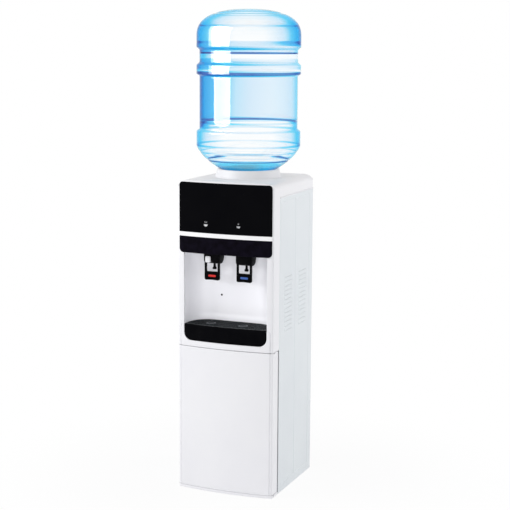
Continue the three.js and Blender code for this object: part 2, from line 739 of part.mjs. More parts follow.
// Child lock: a square push button on the hot tap, with a stem through the tap's front wall.
const lockBack = TAP_FRONT - GAP - LOCK_TRAVEL;
piece(
  "child_lock_button",
  join(
    facing(
      rectangle(LOCK_X - LOCK_W / 2, LOCK_X + LOCK_W / 2, LOCK_Z - LOCK_H / 2, LOCK_Z + LOCK_H / 2, 4),
      lockBack - LOCK_T,
      lockBack,
    ),
    rodY(LOCK_X, LOCK_Z, LOCK_STEM_R, lockBack - LOCK_T / 2, TAP_FRONT + 1),
  ),
  WHITE,
);

// ---- Drip tray and grille
// The tray's plan, a distance inside the bay; its front follows the bow.
function trayBlock(inside, z0, z1, frontInset) {
  const view = rectangle(
    -NICHE_HALF_W + inside,
    NICHE_HALF_W - inside,
    TRAY_BOTTOM + inside - TRAY_CLEAR,
    TRAY_TOP + TRAY_H,
    Math.max(TRAY_BOTTOM_R - inside, 1),
    0,
  );
  return standing(nichePlan(-inside), z0, z1)
    .intersect(facing(view, -FAR / 2, FAR / 2))
    .intersect(standing(bodyPlan(frontInset, BACK_Y), 0, BODY_HEIGHT));
}

const GRILLE_BOTTOM = TRAY_TOP - GRILLE_T - GAP;
const trayInner = TRAY_CLEAR + TRAY_WALL;
piece(
  "drip_tray",
  cut(
    trayBlock(TRAY_CLEAR, TRAY_BOTTOM, TRAY_TOP, 0),
    trayBlock(trayInner + GRILLE_LEDGE, TRAY_BOTTOM + TRAY_WALL, TRAY_TOP + 1, TRAY_WALL + GRILLE_LEDGE),
    trayBlock(trayInner, GRILLE_BOTTOM - GAP, TRAY_TOP + 1, TRAY_WALL),
  ),
  BLACK,
);

// Slanted slots of the grille, cut inside its rim.
function grille() {
  const plate = trayBlock(trayInner + GAP, GRILLE_BOTTOM, TRAY_TOP - GAP, TRAY_WALL + GAP);
  const rimInset = trayInner + GAP + GRILLE_RIM;
  const field = trayBlock(rimInset, GRILLE_BOTTOM - 1, TRAY_TOP + 1, TRAY_WALL + GRILLE_RIM);
  const pitch = GRILLE_SLOT + GRILLE_BAR;
  const lean = NICHE_BACK - FRONT_Y;
  const count = Math.floor((NICHE_HALF_W + lean / 2) / pitch);
  const middle = (NICHE_BACK + FRONT_Y) / 2;
  let slots = null;
  for (let i = -count; i <= count; i += 1) {
    const x = i * pitch;
    const slot = standing(
      outline([
        [x - GRILLE_SLOT / 2 - lean / 2, middle - lean],
        [x + GRILLE_SLOT / 2 - lean / 2, middle - lean],
        [x + GRILLE_SLOT / 2 + lean / 2, middle + lean],
        [x - GRILLE_SLOT / 2 + lean / 2, middle + lean],
      ]),
      GRILLE_BOTTOM - 1,
      TRAY_TOP + 1,
    );
    slots = slots === null ? slot : slots.add(slot);
  }
  const crossbar = box(-FAR, FAR, middle - GRILLE_BAR / 2, middle + GRILLE_BAR / 2, 0, FAR);
  return plate.subtract(slots.intersect(field).subtract(crossbar));
}
piece("drip_grille", grille(), SLATE);

// ---- Door
function door() {
  const rim = bodyPlan(0, DOOR_BACK);
  const shell = standing(rim, DOOR_BOTTOM, DOOR_TOP).subtract(
    standing(bodyPlan(SHELL, DOOR_BACK + SHELL), DOOR_BOTTOM + SHELL, DOOR_TOP - SHELL),
  );
  const boss = (z) =>
    box(
      HINGE_X - HINGE_BOSS_R,
      HINGE_X + HINGE_BOSS_R,
      HINGE_Y - HINGE_BOSS_R,
      DOOR_BACK,
      z,
      z + HINGE_BOSS_H,
    ).intersect(standing(rim, DOOR_BOTTOM, DOOR_TOP));
  const strikeBack = LINER_MOUTH_Y + LINER_WALL - GAP - STRIKE_T - GAP;
  const pad = box(
    LINER_HALF_W + GAP,
    HALF_W - SHELL / 2,
    bowY(LINER_HALF_W) + SHELL / 2,
    strikeBack,
    MAGNET_Z - SHELL,
    MAGNET_Z + MAGNET_H + SHELL,
  ).intersect(standing(bodyPlan(SHELL / 2, BACK_Y), 0, BODY_HEIGHT));
  return cut(
    join(shell, boss(DOOR_BOTTOM), boss(DOOR_TOP - HINGE_BOSS_H), pad),
    rod(HINGE_X, HINGE_Y, HINGE_PIN_R + GAP, 0, DOOR_BOTTOM + HINGE_BOSS_H - SHELL),
    rod(HINGE_X, HINGE_Y, HINGE_PIN_R + GAP, DOOR_TOP - HINGE_BOSS_H + SHELL, DOOR_TOP + SHELL),
  );
}
piece("door", door(), WHITE);

const pinReach = HINGE_BOSS_H - SHELL - 1;
piece(
  "door_hinge_pin_top",
  rod(HINGE_X, HINGE_Y, HINGE_PIN_R, DOOR_TOP - pinReach, FRAME_BOTTOM + SHELL + GAP),
  STEEL,
);
piece(
  "door_hinge_pin_bottom",
  turned(
    [
      [0, BASE_BOTTOM - GAP - HINGE_HEAD_T],
      [HINGE_HEAD_R, BASE_BOTTOM - GAP - HINGE_HEAD_T],
      [HINGE_HEAD_R, BASE_BOTTOM - GAP],
      [HINGE_PIN_R, BASE_BOTTOM - GAP],
      [HINGE_PIN_R, DOOR_BOTTOM + pinReach],
      [0, DOOR_BOTTOM + pinReach],
    ],
    HINGE_X,
    HINGE_Y,
    SMALL_ROUND,
  ),
  STEEL,
);
const magnetX = LINER_HALF_W + GAP;
const magnetY = LINER_MOUTH_Y + LINER_WALL;
piece(
  "door_magnet",
  box(magnetX, magnetX + MAGNET_W, magnetY, magnetY + MAGNET_DEPTH, MAGNET_Z, MAGNET_Z + MAGNET_H),
  BLACK,
);
piece(
  "strike_plate",
  box(magnetX, magnetX + MAGNET_W, magnetY - GAP - STRIKE_T, magnetY - GAP, MAGNET_Z, MAGNET_Z + MAGNET_H),
  STEEL,
);

// ---- Storage cabinet, shelf, base and feet
function cabinetLiner() {
  const skidX = LINER_HALF_W - 2 * LINER_SKID_W;
  const skid = (side) =>
    box(
      Math.min(side * skidX, side * (skidX + LINER_SKID_W)),
      Math.max(side * skidX, side * (skidX + LINER_SKID_W)),
      WRAP_BACK + SHELL,
      LINER_REAR_Y,
      BASE_TOP + GAP,
      LINER_BOTTOM + LINER_WALL / 2,
    );
  return cut(
    join(
      box(-LINER_HALF_W, LINER_HALF_W, LINER_MOUTH_Y, LINER_REAR_Y, LINER_BOTTOM, LINER_TOP),
      skid(-1),
      skid(1),
    ),
    box(
      -LINER_HALF_W + LINER_WALL,
      LINER_HALF_W - LINER_WALL,
      LINER_MOUTH_Y - SHELL,
      LINER_REAR_Y - LINER_WALL,
      LINER_BOTTOM + LINER_WALL,
      LINER_TOP - LINER_WALL,
    ),
  );
}
piece("cabinet_liner", cabinetLiner(), WHITE);

const insideHalf = SHEET_INNER - GAP;
piece(
  "mid_shelf",
  box(-insideHalf, insideHalf, WRAP_BACK + SHELL, BACK_INNER - GAP, SHELF_Z, SHELF_TOP),
  STEEL,
);
piece(
  "base_plate",
  cut(
    standing(bodyPlan(HALF_W - insideHalf, BACK_INNER - GAP), BASE_BOTTOM, BASE_TOP),
    rod(HINGE_X, HINGE_Y, HINGE_PIN_R + GAP, 0, BASE_TOP + 1),
  ),
  STEEL,
);
for (const [place, sideX, y] of [
  ["front_left", -1, FRONT_Y + FOOT_INSET_Y],
  ["front_right", 1, FRONT_Y + FOOT_INSET_Y],
  ["rear_left", -1, BACK_Y - FOOT_INSET_Y],
  ["rear_right", 1, BACK_Y - FOOT_INSET_Y],
]) {
  piece(`foot_${place}`, rod(sideX * (HALF_W - FOOT_INSET_X), y, FOOT_R, 0, FOOT_H), RUBBER);
}

// ---- Side and back panels
// The two raised fields of a side panel, as [front, back] along Y.
const fieldFront = WRAP_BACK + FIELD_FRONT_MARGIN;
const fieldBack = BACK_Y - FIELD_BACK_MARGIN;
const fieldMiddle = (fieldFront + fieldBack) / 2;
const FIELDS = [
  [fieldFront, fieldMiddle - FIELD_RIB / 2],
  [fieldMiddle + FIELD_RIB / 2, fieldBack],
];

function sidePanel(side) {
  const span = (a, b) => [Math.min(side * a, side * b), Math.max(side * a, side * b)];
  const top = CAP_BOTTOM - GAP;
  let made = box(...span(SHEET_INNER, SHEET_OUTER), WRAP_BACK + GAP, BACK_Y, BASE_BOTTOM, top);
  for (const [front, back] of FIELDS) {
    const field = rectangle(front, back, FIELD_BOTTOM, top - FIELD_TOP_MARGIN, 3);
    made = made.add(across(field, ...span(SHEET_OUTER - SHEET / 2, HALF_W)));
    for (let i = 0; i < VENT_COUNT; i += 1) {
      const z = FRAME_BOTTOM + VENT_RISE + i * VENT_PITCH;
      const slot = box(
        ...span(SHEET_INNER - SHEET, HALF_W + SHEET),
        front + VENT_MARGIN,
        back - VENT_MARGIN,
        z,
        z + VENT_SLOT,
      );
      made = made.subtract(slot);
    }
  }
  return made;
}
piece("side_panel_left", sidePanel(-1), PANEL_WHITE);
piece("side_panel_right", sidePanel(1), PANEL_WHITE);

function backPanel() {
  let made = box(-insideHalf, insideHalf, BACK_INNER, BACK_Y, BASE_BOTTOM, CAP_BOTTOM - GAP);
  const count = Math.floor((2 * FAN_BORE_R) / VENT_PITCH);
  for (let i = 0; i < count; i += 1) {
    const z = PELTIER_Z + (i - (count - 1) / 2) * VENT_PITCH;
    const half = Math.sqrt(FAN_BORE_R ** 2 - (z - PELTIER_Z) ** 2);
    made = made.subtract(
      box(-half, half, BACK_INNER - 1, BACK_Y + 1, z - VENT_SLOT / 2, z + VENT_SLOT / 2),
    );
  }
  return cut(
    made,
    rodY(HOT_TANK_X, DRAIN_Z, DRAIN_R + GAP, BACK_INNER - 1, BACK_Y + 1),
    rodY(GLAND_X, GLAND_Z, GLAND_R + GAP, BACK_INNER - 1, BACK_Y + 1),
    switchBlock(GAP, BACK_INNER - 1, BACK_Y + 1),
  );
}

// The block behind the switch frame's flange, grown by a distance.
const switchHalfW = (SWITCH_PITCH + SWITCH_W) / 2 + SWITCH_FLANGE / 2;
const switchHalfH = SWITCH_H / 2 + SWITCH_FLANGE / 2;
function switchBlock(grow, y0, y1) {
  return box(
    SWITCH_X - switchHalfW - grow,
    SWITCH_X + switchHalfW + grow,
    y0,
    y1,
    SWITCH_Z - switchHalfH - grow,
    SWITCH_Z + switchHalfH + grow,
  );
}
piece("back_panel", backPanel(), PANEL_WHITE);

// ---- Bottle seat
piece(
  "bottle_collar",
  turned(
    [
      [COLLAR_SKIRT_R - COLLAR_WALL, BODY_HEIGHT - COLLAR_SKIRT_H],
      [COLLAR_SKIRT_R, BODY_HEIGHT - COLLAR_SKIRT_H],
      [COLLAR_SKIRT_R, BODY_HEIGHT + GAP],
      [COLLAR_FLANGE_R, BODY_HEIGHT + GAP],
      [COLLAR_FLANGE_R, BODY_HEIGHT + COLLAR_LIP],
      [COLLAR_BULGE_R + COLLAR_ROUND, BODY_HEIGHT + 2 * COLLAR_LIP],
      [COLLAR_BULGE_R, BODY_HEIGHT + 4 * COLLAR_LIP],
      [(COLLAR_BULGE_R + COLLAR_RIM_R) / 2, (BODY_HEIGHT + COLLAR_RIM_Z) / 2 + COLLAR_LIP],
      [COLLAR_RIM_R, COLLAR_RIM_Z - 2 * COLLAR_LIP],
      [COLLAR_RIM_R - COLLAR_ROUND, COLLAR_RIM_Z],
      [SEAT_R, COLLAR_RIM_Z - COLLAR_ROUND],
      [COLLAR_RIM_R - COLLAR_WALL, COLLAR_RIM_Z - 3 * COLLAR_LIP],
      [COLLAR_SKIRT_R + COLLAR_WALL, BODY_HEIGHT + 2 * COLLAR_LIP],
      [COLLAR_SKIRT_R - COLLAR_WALL, BODY_HEIGHT],
      [COLLAR_SKIRT_R - COLLAR_WALL, BODY_HEIGHT - COLLAR_SKIRT_H],
    ],
    0,
    BOTTLE_Y,
  ),
  WHITE,
);

// Funnel under the collar: it catches the bottle's neck, and its hollow probe enters the cap.
const funnelRimZ = TOP_INNER - GAP;
const funnelInnerR = COLLAR_SKIRT_R + 2;
const funnelStepZ = BODY_HEIGHT - COLLAR_SKIRT_H - 1;
piece(
  "inlet_funnel",
  turned(
    [
      [PROBE_BORE_R, WELL_FLOOR - FUNNEL_WALL - SPIGOT_H],
      [SPIGOT_R, WELL_FLOOR - FUNNEL_WALL - SPIGOT_H],
      [SPIGOT_R, WELL_FLOOR - FUNNEL_WALL],
      [WELL_R + FUNNEL_WALL, WELL_FLOOR - FUNNEL_WALL],
      [WELL_R + FUNNEL_WALL, WELL_TOP - FUNNEL_WALL],
      [funnelInnerR + FUNNEL_WALL, funnelStepZ - FUNNEL_WALL],
      [funnelInnerR + FUNNEL_WALL, funnelRimZ - FUNNEL_WALL],
      [FUNNEL_R, funnelRimZ - FUNNEL_WALL],
      [FUNNEL_R, funnelRimZ],
      [funnelInnerR, funnelRimZ],
      [funnelInnerR, funnelStepZ],
      [WELL_R, WELL_TOP],
      [WELL_R, WELL_FLOOR],
      [PROBE_R, WELL_FLOOR],
      [PROBE_R, PROBE_TOP - 3],
      [PROBE_R - 2, PROBE_TOP],
      [PROBE_BORE_R, PROBE_TOP],
      [PROBE_BORE_R, WELL_FLOOR - FUNNEL_WALL - SPIGOT_H],
    ],
    0,
    BOTTLE_Y,
    ROUND,
  ),
  WHITE,
);

// ---- Bottle, upside down, from its neck up to its dome
const bottle = new THREE.Group();
model.add(bottle);
const rimZ = COLLAR_RIM_Z + GAP;
const lowBandZ = rimZ + BOTTLE_SHOULDER_H;
const barrelZ = lowBandZ + BOTTLE_LOW_BAND_H + BOTTLE_EASE_H;
const midBandZ = barrelZ + BOTTLE_BARREL_H + BOTTLE_EASE_H;
const grooveZ = midBandZ + BOTTLE_MID_BAND_H + BOTTLE_EASE_H;
const topBandZ = grooveZ + BOTTLE_GROOVE_H + BOTTLE_EASE_H;
const domeZ = topBandZ + BOTTLE_TOP_BAND_H;
const neckTop = NECK_BOTTOM + NECK_H;
const SHOULDER_ROUNDING = 1.5;
const DOME_ROUNDING = 2.5;

// Radius at a height above (or depth below) the wide end of a rounded end: (r/R)^n + (h/reach)^n = 1.
const roundedEnd = (radius, reach, rounding, h) =>
  radius * (1 - (h / reach) ** rounding) ** (1 / rounding);

// The rounded shoulder from lowRadius at the collar's seat up to the lowest band, in steps.
function shoulder(radius, lowRadius, steps) {
  const share = 1 - (lowRadius / radius) ** SHOULDER_ROUNDING;
  const reach = BOTTLE_SHOULDER_H / share ** (1 / SHOULDER_ROUNDING);
  const points = [];
  for (let i = 0; i < steps; i += 1) {
    const depth = BOTTLE_SHOULDER_H * (1 - i / steps);
    points.push([roundedEnd(radius, reach, SHOULDER_ROUNDING, depth), lowBandZ - depth]);
  }
  return points;
}

// The dome from its wide edge up to the axis, in steps that close up towards the top.
function dome(radius, reach, steps) {
  const points = [];
  for (let i = 0; i <= steps; i += 1) {
    const h = reach * Math.sin((Math.PI / 2) * (i / steps));
    points.push([i === steps ? 0 : roundedEnd(radius, reach, DOME_ROUNDING, h), domeZ + h]);
  }
  return points;
}

const barrelR = BOTTLE_R - BOTTLE_GROOVE;
const insideR = barrelR - BOTTLE_WALL;
const BOTTLE_OUTSIDE = [
  [NECK_R - NECK_WALL, NECK_BOTTOM],
  [NECK_R, NECK_BOTTOM],
  [NECK_R, neckTop],
  [NECK_R + NECK_WALL, neckTop + NECK_WALL],
  ...shoulder(BOTTLE_R, SEAT_R, 5),
  [BOTTLE_R, lowBandZ],
  [BOTTLE_R, lowBandZ + BOTTLE_LOW_BAND_H],
  [barrelR, barrelZ],
  [barrelR, midBandZ - BOTTLE_EASE_H],
  [BOTTLE_R, midBandZ],
  [BOTTLE_R, midBandZ + BOTTLE_MID_BAND_H],
  [barrelR, grooveZ],
  [barrelR, grooveZ + BOTTLE_GROOVE_H],
  [BOTTLE_R, topBandZ],
  ...dome(BOTTLE_R, BOTTLE_DOME_H, 6),
];
const BOTTLE_INSIDE = [
  ...dome(insideR, BOTTLE_DOME_H - BOTTLE_WALL, 4).reverse(),
  [insideR, lowBandZ],
  ...shoulder(insideR, SEAT_R - 3 * BOTTLE_WALL, 3).reverse(),
  [NECK_R - NECK_WALL, neckTop + NECK_WALL],
  [NECK_R - NECK_WALL, NECK_BOTTOM],
];
piece("bottle", turned([...BOTTLE_OUTSIDE, ...BOTTLE_INSIDE], 0, BOTTLE_Y), BOTTLE_PLASTIC, bottle);
piece(
  "bottle_cap",
  turned(
    [
      [PROBE_R + GAP, NECK_BOTTOM - GAP - BOTTLE_CAP_T],
      [BOTTLE_CAP_R, NECK_BOTTOM - GAP - BOTTLE_CAP_T],
      [BOTTLE_CAP_R, NECK_BOTTOM - BOTTLE_CAP_T + BOTTLE_CAP_H],
      [NECK_R + GAP, NECK_BOTTOM - BOTTLE_CAP_T + BOTTLE_CAP_H],
      [NECK_R + GAP, NECK_BOTTOM - GAP],
      [PROBE_R + GAP, NECK_BOTTOM - GAP],
      [PROBE_R + GAP, NECK_BOTTOM - GAP - BOTTLE_CAP_T],
    ],
    0,
    BOTTLE_Y,
  ),
  BLUE,
  bottle,
);

// ---- Cold tank in its foam, cooled through its back by a thermoelectric module
const coldOutlet = [COLD_TANK_R * 0.45, BOTTLE_Y - COLD_TANK_R * 0.55];
const coldFeed = [-COLD_TANK_R * 0.35, BOTTLE_Y + COLD_TANK_R * 0.35];
const hoseHole = ([x, y], clear) =>
  rod(x, y, TUBE_R + clear, FOAM_LOW - 1, TANK_BOTTOM + 2 * TANK_WALL, 12);
piece(
  "cold_tank",
  cut(
    turned(
      [
        [0, TANK_BOTTOM],
        [COLD_TANK_R, TANK_BOTTOM],
        [COLD_TANK_R, TANK_TOP],
        [SPIGOT_R + GAP, TANK_TOP],
        [SPIGOT_R + GAP, TANK_TOP - TANK_WALL],
        [COLD_TANK_R - TANK_WALL, TANK_TOP - TANK_WALL],
        [COLD_TANK_R - TANK_WALL, TANK_BOTTOM + TANK_WALL],
        [0, TANK_BOTTOM + TANK_WALL],
      ],
      0,
      BOTTLE_Y,
    ),
    hoseHole(coldOutlet, 2 * GAP),
    hoseHole(coldFeed, 2 * GAP),
  ),
  STEEL,
);
const plateHalf = COLD_PLATE_W / 2;
const coldPlateFront = BOTTLE_Y + COLD_TANK_R + GAP;
const coldPlateBack = BOTTLE_Y + FOAM_R;
piece(
  "tank_insulation",
  cut(
    standing(rectangle(-FOAM_R, FOAM_R, BOTTLE_Y - FOAM_R, BOTTLE_Y + FOAM_R, 20), FOAM_LOW, TANK_TOP),
    rod(0, BOTTLE_Y, COLD_TANK_R + GAP, TANK_BOTTOM - GAP, TANK_TOP + 1, ROUND),
    box(
      -plateHalf - GAP,
      plateHalf + GAP,
      BOTTLE_Y,
      BOTTLE_Y + FOAM_R + 1,
      PELTIER_Z - plateHalf - GAP,
      PELTIER_Z + plateHalf + GAP,
    ),
    hoseHole(coldOutlet, FOAM_CLEAR),
    hoseHole(coldFeed, FOAM_CLEAR),
  ),
  FOAM,
);
piece(
  "cold_plate",
  box(-plateHalf, plateHalf, coldPlateFront, coldPlateBack, PELTIER_Z - plateHalf, PELTIER_Z + plateHalf),
  ALUMINIUM,
);
const peltierHalf = PELTIER_W / 2;
const peltierY = coldPlateBack + GAP;
piece(
  "peltier_module",
  box(
    -peltierHalf,
    peltierHalf,
    peltierY,
    peltierY + PELTIER_T,
    PELTIER_Z - peltierHalf,
    PELTIER_Z + peltierHalf,
  ),
  CERAMIC,
);

// Heat sink: a plate with upright fins, as one comb-shaped outline.
function heatSink() {
  const front = peltierY + PELTIER_T + GAP;
  const back = FAN_Y - GAP;
  const half = SINK_W / 2;
  const root = front + SINK_BASE;
  const pitch = (SINK_W - SINK_FIN) / (SINK_FINS - 1);
  const corners = [[-half, front], [half, front]];
  for (let i = SINK_FINS - 1; i >= 0; i -= 1) {
    const x = -half + i * pitch;
    corners.push([x + SINK_FIN, i === SINK_FINS - 1 ? back : root]);
    if (i < SINK_FINS - 1) corners.push([x + SINK_FIN, back]);
    corners.push([x, back]);
    if (i > 0) corners.push([x, root]);
  }
  return standing(outline(corners), PELTIER_Z - SINK_H / 2, PELTIER_Z + SINK_H / 2);
}
piece("heat_sink", heatSink(), ALUMINIUM);

// Fan: a square frame with a round bore, and struts that carry the hub at its back.
const fanHalf = FAN_W / 2;
const hubFace = FAN_Y + FAN_T - SHELL;
piece(
  "fan_frame",
  join(
    cut(
      facing(
        rectangle(-fanHalf, fanHalf, PELTIER_Z - fanHalf, PELTIER_Z + fanHalf, 4),
        FAN_Y,
        FAN_Y + FAN_T,
      ),
      rodY(0, PELTIER_Z, FAN_BORE_R, FAN_Y - 1, FAN_Y + FAN_T + 1, ROUND),
    ),
    box(
      -FAN_BORE_R - 1,
      FAN_BORE_R + 1,
      hubFace,
      FAN_Y + FAN_T,
      PELTIER_Z - FAN_STRUT / 2,
      PELTIER_Z + FAN_STRUT / 2,
    ),
    box(
      -FAN_STRUT / 2,
      FAN_STRUT / 2,
      hubFace,
      FAN_Y + FAN_T,
      PELTIER_Z - FAN_BORE_R - 1,
      PELTIER_Z + FAN_BORE_R + 1,
    ),
    rodY(0, PELTIER_Z, FAN_HUB_R, hubFace, FAN_Y + FAN_T),
  ),
  BLACK,
);

// Rotor: a hub with slanted blades.
function fanRotor() {
  const y0 = FAN_Y + 2;
  const y1 = hubFace - GAP;
  const depth = y1 - y0;
  let made = rodY(0, PELTIER_Z, FAN_HUB_R, y0, y1);
  for (let i = 0; i < FAN_BLADES; i += 1) {
    const reach = FAN_BORE_R - 1.5 - FAN_HUB_R + 2;
    const blade = new THREE.BoxGeometry(reach, depth * 0.8, FAN_BLADE_T);
    blade.rotateX(Math.PI / 5);
    blade.translate(FAN_HUB_R - 2 + reach / 2, (y0 + y1) / 2, 0);
    blade.rotateY((2 * Math.PI * i) / FAN_BLADES);
    blade.translate(0, 0, PELTIER_Z);
    made = made.add(solid(blade));
  }
  return made;
}
piece("fan_rotor", fanRotor(), BLACK);

// ---- Hot tank with its heater, standing on the shelf
const hotOutlet = [HOT_TANK_X - HOT_TANK_R * 0.4, HOT_TANK_Y];
const hotInlet = [HOT_TANK_X + HOT_TANK_R * 0.5, HOT_TANK_Y];
const lidHole = ([x, y]) => rod(x, y, TUBE_R + GAP, HOT_TANK_TOP - 2 * TANK_WALL, HOT_TANK_TOP + 1, 12);
piece(
  "hot_tank",
  cut(
    turned(
      [
        [0, HOT_TANK_BOTTOM],
        [HOT_TANK_R, HOT_TANK_BOTTOM],
        [HOT_TANK_R, HOT_TANK_TOP],
        [0, HOT_TANK_TOP],
      ],
      HOT_TANK_X,
      HOT_TANK_Y,
    ),
    rod(
      HOT_TANK_X,
      HOT_TANK_Y,
      HOT_TANK_R - TANK_WALL,
      HOT_TANK_BOTTOM + TANK_WALL,
      HOT_TANK_TOP - TANK_WALL,
      ROUND,
    ),
    lidHole(hotOutlet),
    lidHole(hotInlet),
  ),
  STEEL,
);
const heaterZ = HOT_TANK_BOTTOM + HEATER_RISE;
piece(
  "heater_band",
  turned(
    [
      [HOT_TANK_R + GAP, heaterZ],
      [HOT_TANK_R + GAP + HEATER_T, heaterZ],
      [HOT_TANK_R + GAP + HEATER_T, heaterZ + HEATER_H],
      [HOT_TANK_R + GAP, heaterZ + HEATER_H],
      [HOT_TANK_R + GAP, heaterZ],
    ],
    HOT_TANK_X,
    HOT_TANK_Y,
  ),
  STEEL,
);
piece(
  "thermostat",
  rod(
    HOT_TANK_X,
    HOT_TANK_Y + HOT_TANK_R / 2,
    THERMOSTAT_R,
    HOT_TANK_TOP + GAP,
    HOT_TANK_TOP + GAP + THERMOSTAT_H,
  ),
  BLACK,
);

// ---- Hoses from the tanks to the taps, and from the cold tank to the hot one
const stubBack = STUB_Y + TAP_STUB_R + GAP;
const liftZ = TUBE_Z - TUBE_BEND;
piece(
  "cold_tube",
  hose(
    [
      [coldOutlet[0], coldOutlet[1], TANK_BOTTOM + 1],
      [coldOutlet[0], coldOutlet[1], FOAM_LOW + FOAM_BOTTOM / 2],
      [coldOutlet[0], coldOutlet[1] - 2, FOAM_LOW - TUBE_R],
      [(coldOutlet[0] + TAP_X) / 2, coldOutlet[1] - TUBE_BEND, TUBE_Z],
      [TAP_X, stubBack + TUBE_BEND / 2, TUBE_Z],
      [TAP_X, stubBack, TUBE_Z],
    ],
    12,
  ),
  SILICONE,
);
piece(
  "hot_tube",
  hose(
    [
      [hotOutlet[0], hotOutlet[1], HOT_TANK_TOP - 1],
      [hotOutlet[0], hotOutlet[1], liftZ],
      [hotOutlet[0], hotOutlet[1] - TUBE_BEND, TUBE_Z],
      [-TAP_X, stubBack + TUBE_BEND, TUBE_Z],
      [-TAP_X, stubBack, TUBE_Z],
    ],
    16,
  ),
  SILICONE,
);
piece(
  "feed_tube",
  hose(
    [
      [coldFeed[0], coldFeed[1], TANK_BOTTOM + 1],
      [coldFeed[0], coldFeed[1], FOAM_LOW + FOAM_BOTTOM / 2],
      [coldFeed[0], coldFeed[1], TUBE_Z - 10],
      [hotInlet[0], hotInlet[1], HOT_TANK_TOP + TUBE_BEND],
      [hotInlet[0], hotInlet[1], HOT_TANK_TOP - 1],
    ],
    10,
  ),
  SILICONE,
);

// Drain of the hot tank, out through the back panel, and its screw cap
piece(
  "drain_tube",
  turnedY(
    [
      [TUBE_R, HOT_TANK_Y + HOT_TANK_R + GAP],
      [DRAIN_R, HOT_TANK_Y + HOT_TANK_R + GAP],
      [DRAIN_R, BACK_Y + REAR_STANDOUT / 2],
      [TUBE_R, BACK_Y + REAR_STANDOUT / 2],
      [TUBE_R, HOT_TANK_Y + HOT_TANK_R + GAP],
    ],
    HOT_TANK_X,
    DRAIN_Z,
  ),
  SILICONE,
);
piece(
  "drain_cap",
  turnedY(
    [
      [0, BACK_Y + REAR_STANDOUT - DRAIN_CAP_T],
      [DRAIN_R + GAP, BACK_Y + REAR_STANDOUT - DRAIN_CAP_T],
      [DRAIN_R + GAP, BACK_Y + GAP],
      [DRAIN_CAP_R, BACK_Y + GAP],
      [DRAIN_CAP_R, BACK_Y + REAR_STANDOUT - 1],
      [DRAIN_CAP_R - 1, BACK_Y + REAR_STANDOUT],
      [0, BACK_Y + REAR_STANDOUT],
    ],
    HOT_TANK_X,
    DRAIN_Z,
  ),
  BLACK,
);

// ---- Power supply on the shelf, rear switches and the gland of the supply cord
piece(
  "power_supply",
  box(
    SUPPLY_X - SUPPLY_W / 2,
    SUPPLY_X + SUPPLY_W / 2,
    SUPPLY_Y - SUPPLY_D / 2,
    SUPPLY_Y + SUPPLY_D / 2,
    SHELF_TOP + GAP,
    SHELF_TOP + GAP + SUPPLY_H,
  ),
  STEEL,
);
const switchX = (side) => SWITCH_X + (side * SWITCH_PITCH) / 2;
const flangeBack = BACK_Y + GAP + SWITCH_FLANGE_T;
function switchFrame() {
  const flange = facing(
    rectangle(
      SWITCH_X - switchHalfW - SWITCH_FLANGE,
      SWITCH_X + switchHalfW + SWITCH_FLANGE,
      SWITCH_Z - switchHalfH - SWITCH_FLANGE,
      SWITCH_Z + switchHalfH + SWITCH_FLANGE,
      3,
    ),
    BACK_Y + GAP,
    flangeBack,
  );
  const opening = (x) =>
    box(
      x - SWITCH_W / 2,
      x + SWITCH_W / 2,
      BACK_Y - SWITCH_DEPTH + SHELL,
      flangeBack + 1,
      SWITCH_Z - SWITCH_H / 2,
      SWITCH_Z + SWITCH_H / 2,
    );
  return cut(
    join(switchBlock(0, BACK_Y - SWITCH_DEPTH, BACK_Y + GAP + 0.5), flange),
    opening(switchX(-1)),
    opening(switchX(1)),
  );
}
piece("switch_frame", switchFrame(), BLACK);

// A rocker: its face has two flats that meet at the pivot, and it rests tilted to one side.
function rocker(x) {
  const half = SWITCH_H / 2 - 1;
  const tilt = Math.tan(THREE.MathUtils.degToRad(SWITCH_ROCK));
  const shape = outline([
    [-4, -half * 0.5],
    [flangeBack - BACK_Y, -half],
    [flangeBack - BACK_Y + 1 + half * tilt, -half],
    [flangeBack - BACK_Y + 1, 0],
    [flangeBack - BACK_Y + 1 + half * tilt, half],
    [flangeBack - BACK_Y, half],
    [-4, half * 0.5],
  ]);
  const wide = SWITCH_W - 4 * GAP;
  const made = extruded(shape, wide).applyMatrix4(SIDEWAYS).translate(-wide / 2, 0, 0);
  made.rotateX(THREE.MathUtils.degToRad(-SWITCH_ROCK));
  return solid(made.translate(x, BACK_Y, SWITCH_Z));
}
piece("hot_switch", rocker(switchX(-1)), RED);
piece("cold_switch", rocker(switchX(1)), BLUE);
piece(
  "cord_gland",
  turnedY(
    [
      [TUBE_R, BACK_Y - GLAND_DEPTH],
      [GLAND_R, BACK_Y - GLAND_DEPTH],
      [GLAND_R, BACK_Y + GAP],
      [GLAND_FLANGE_R, BACK_Y + GAP],
      [GLAND_FLANGE_R - 1, BACK_Y + GAP + GLAND_FLANGE_T],
      [TUBE_R, BACK_Y + GAP + GLAND_FLANGE_T],
      [TUBE_R, BACK_Y - GLAND_DEPTH],
    ],
    GLAND_X,
    GLAND_Z,
  ),
  BLACK,
);

export default model;
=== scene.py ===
# %% [markdown]
# # Water dispenser with a bottle on top
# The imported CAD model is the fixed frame: every new piece takes its place from a CAD part's box and
# rides on that part's body. Shapes are worked out in millimetres and become metres when the mesh is
# made. The camera, the lamps, the floor and the depths in the materials are in metres from the start.

# %% Frame
import math

import bmesh
import bpy
import numpy as np
from mathutils import Matrix, Vector


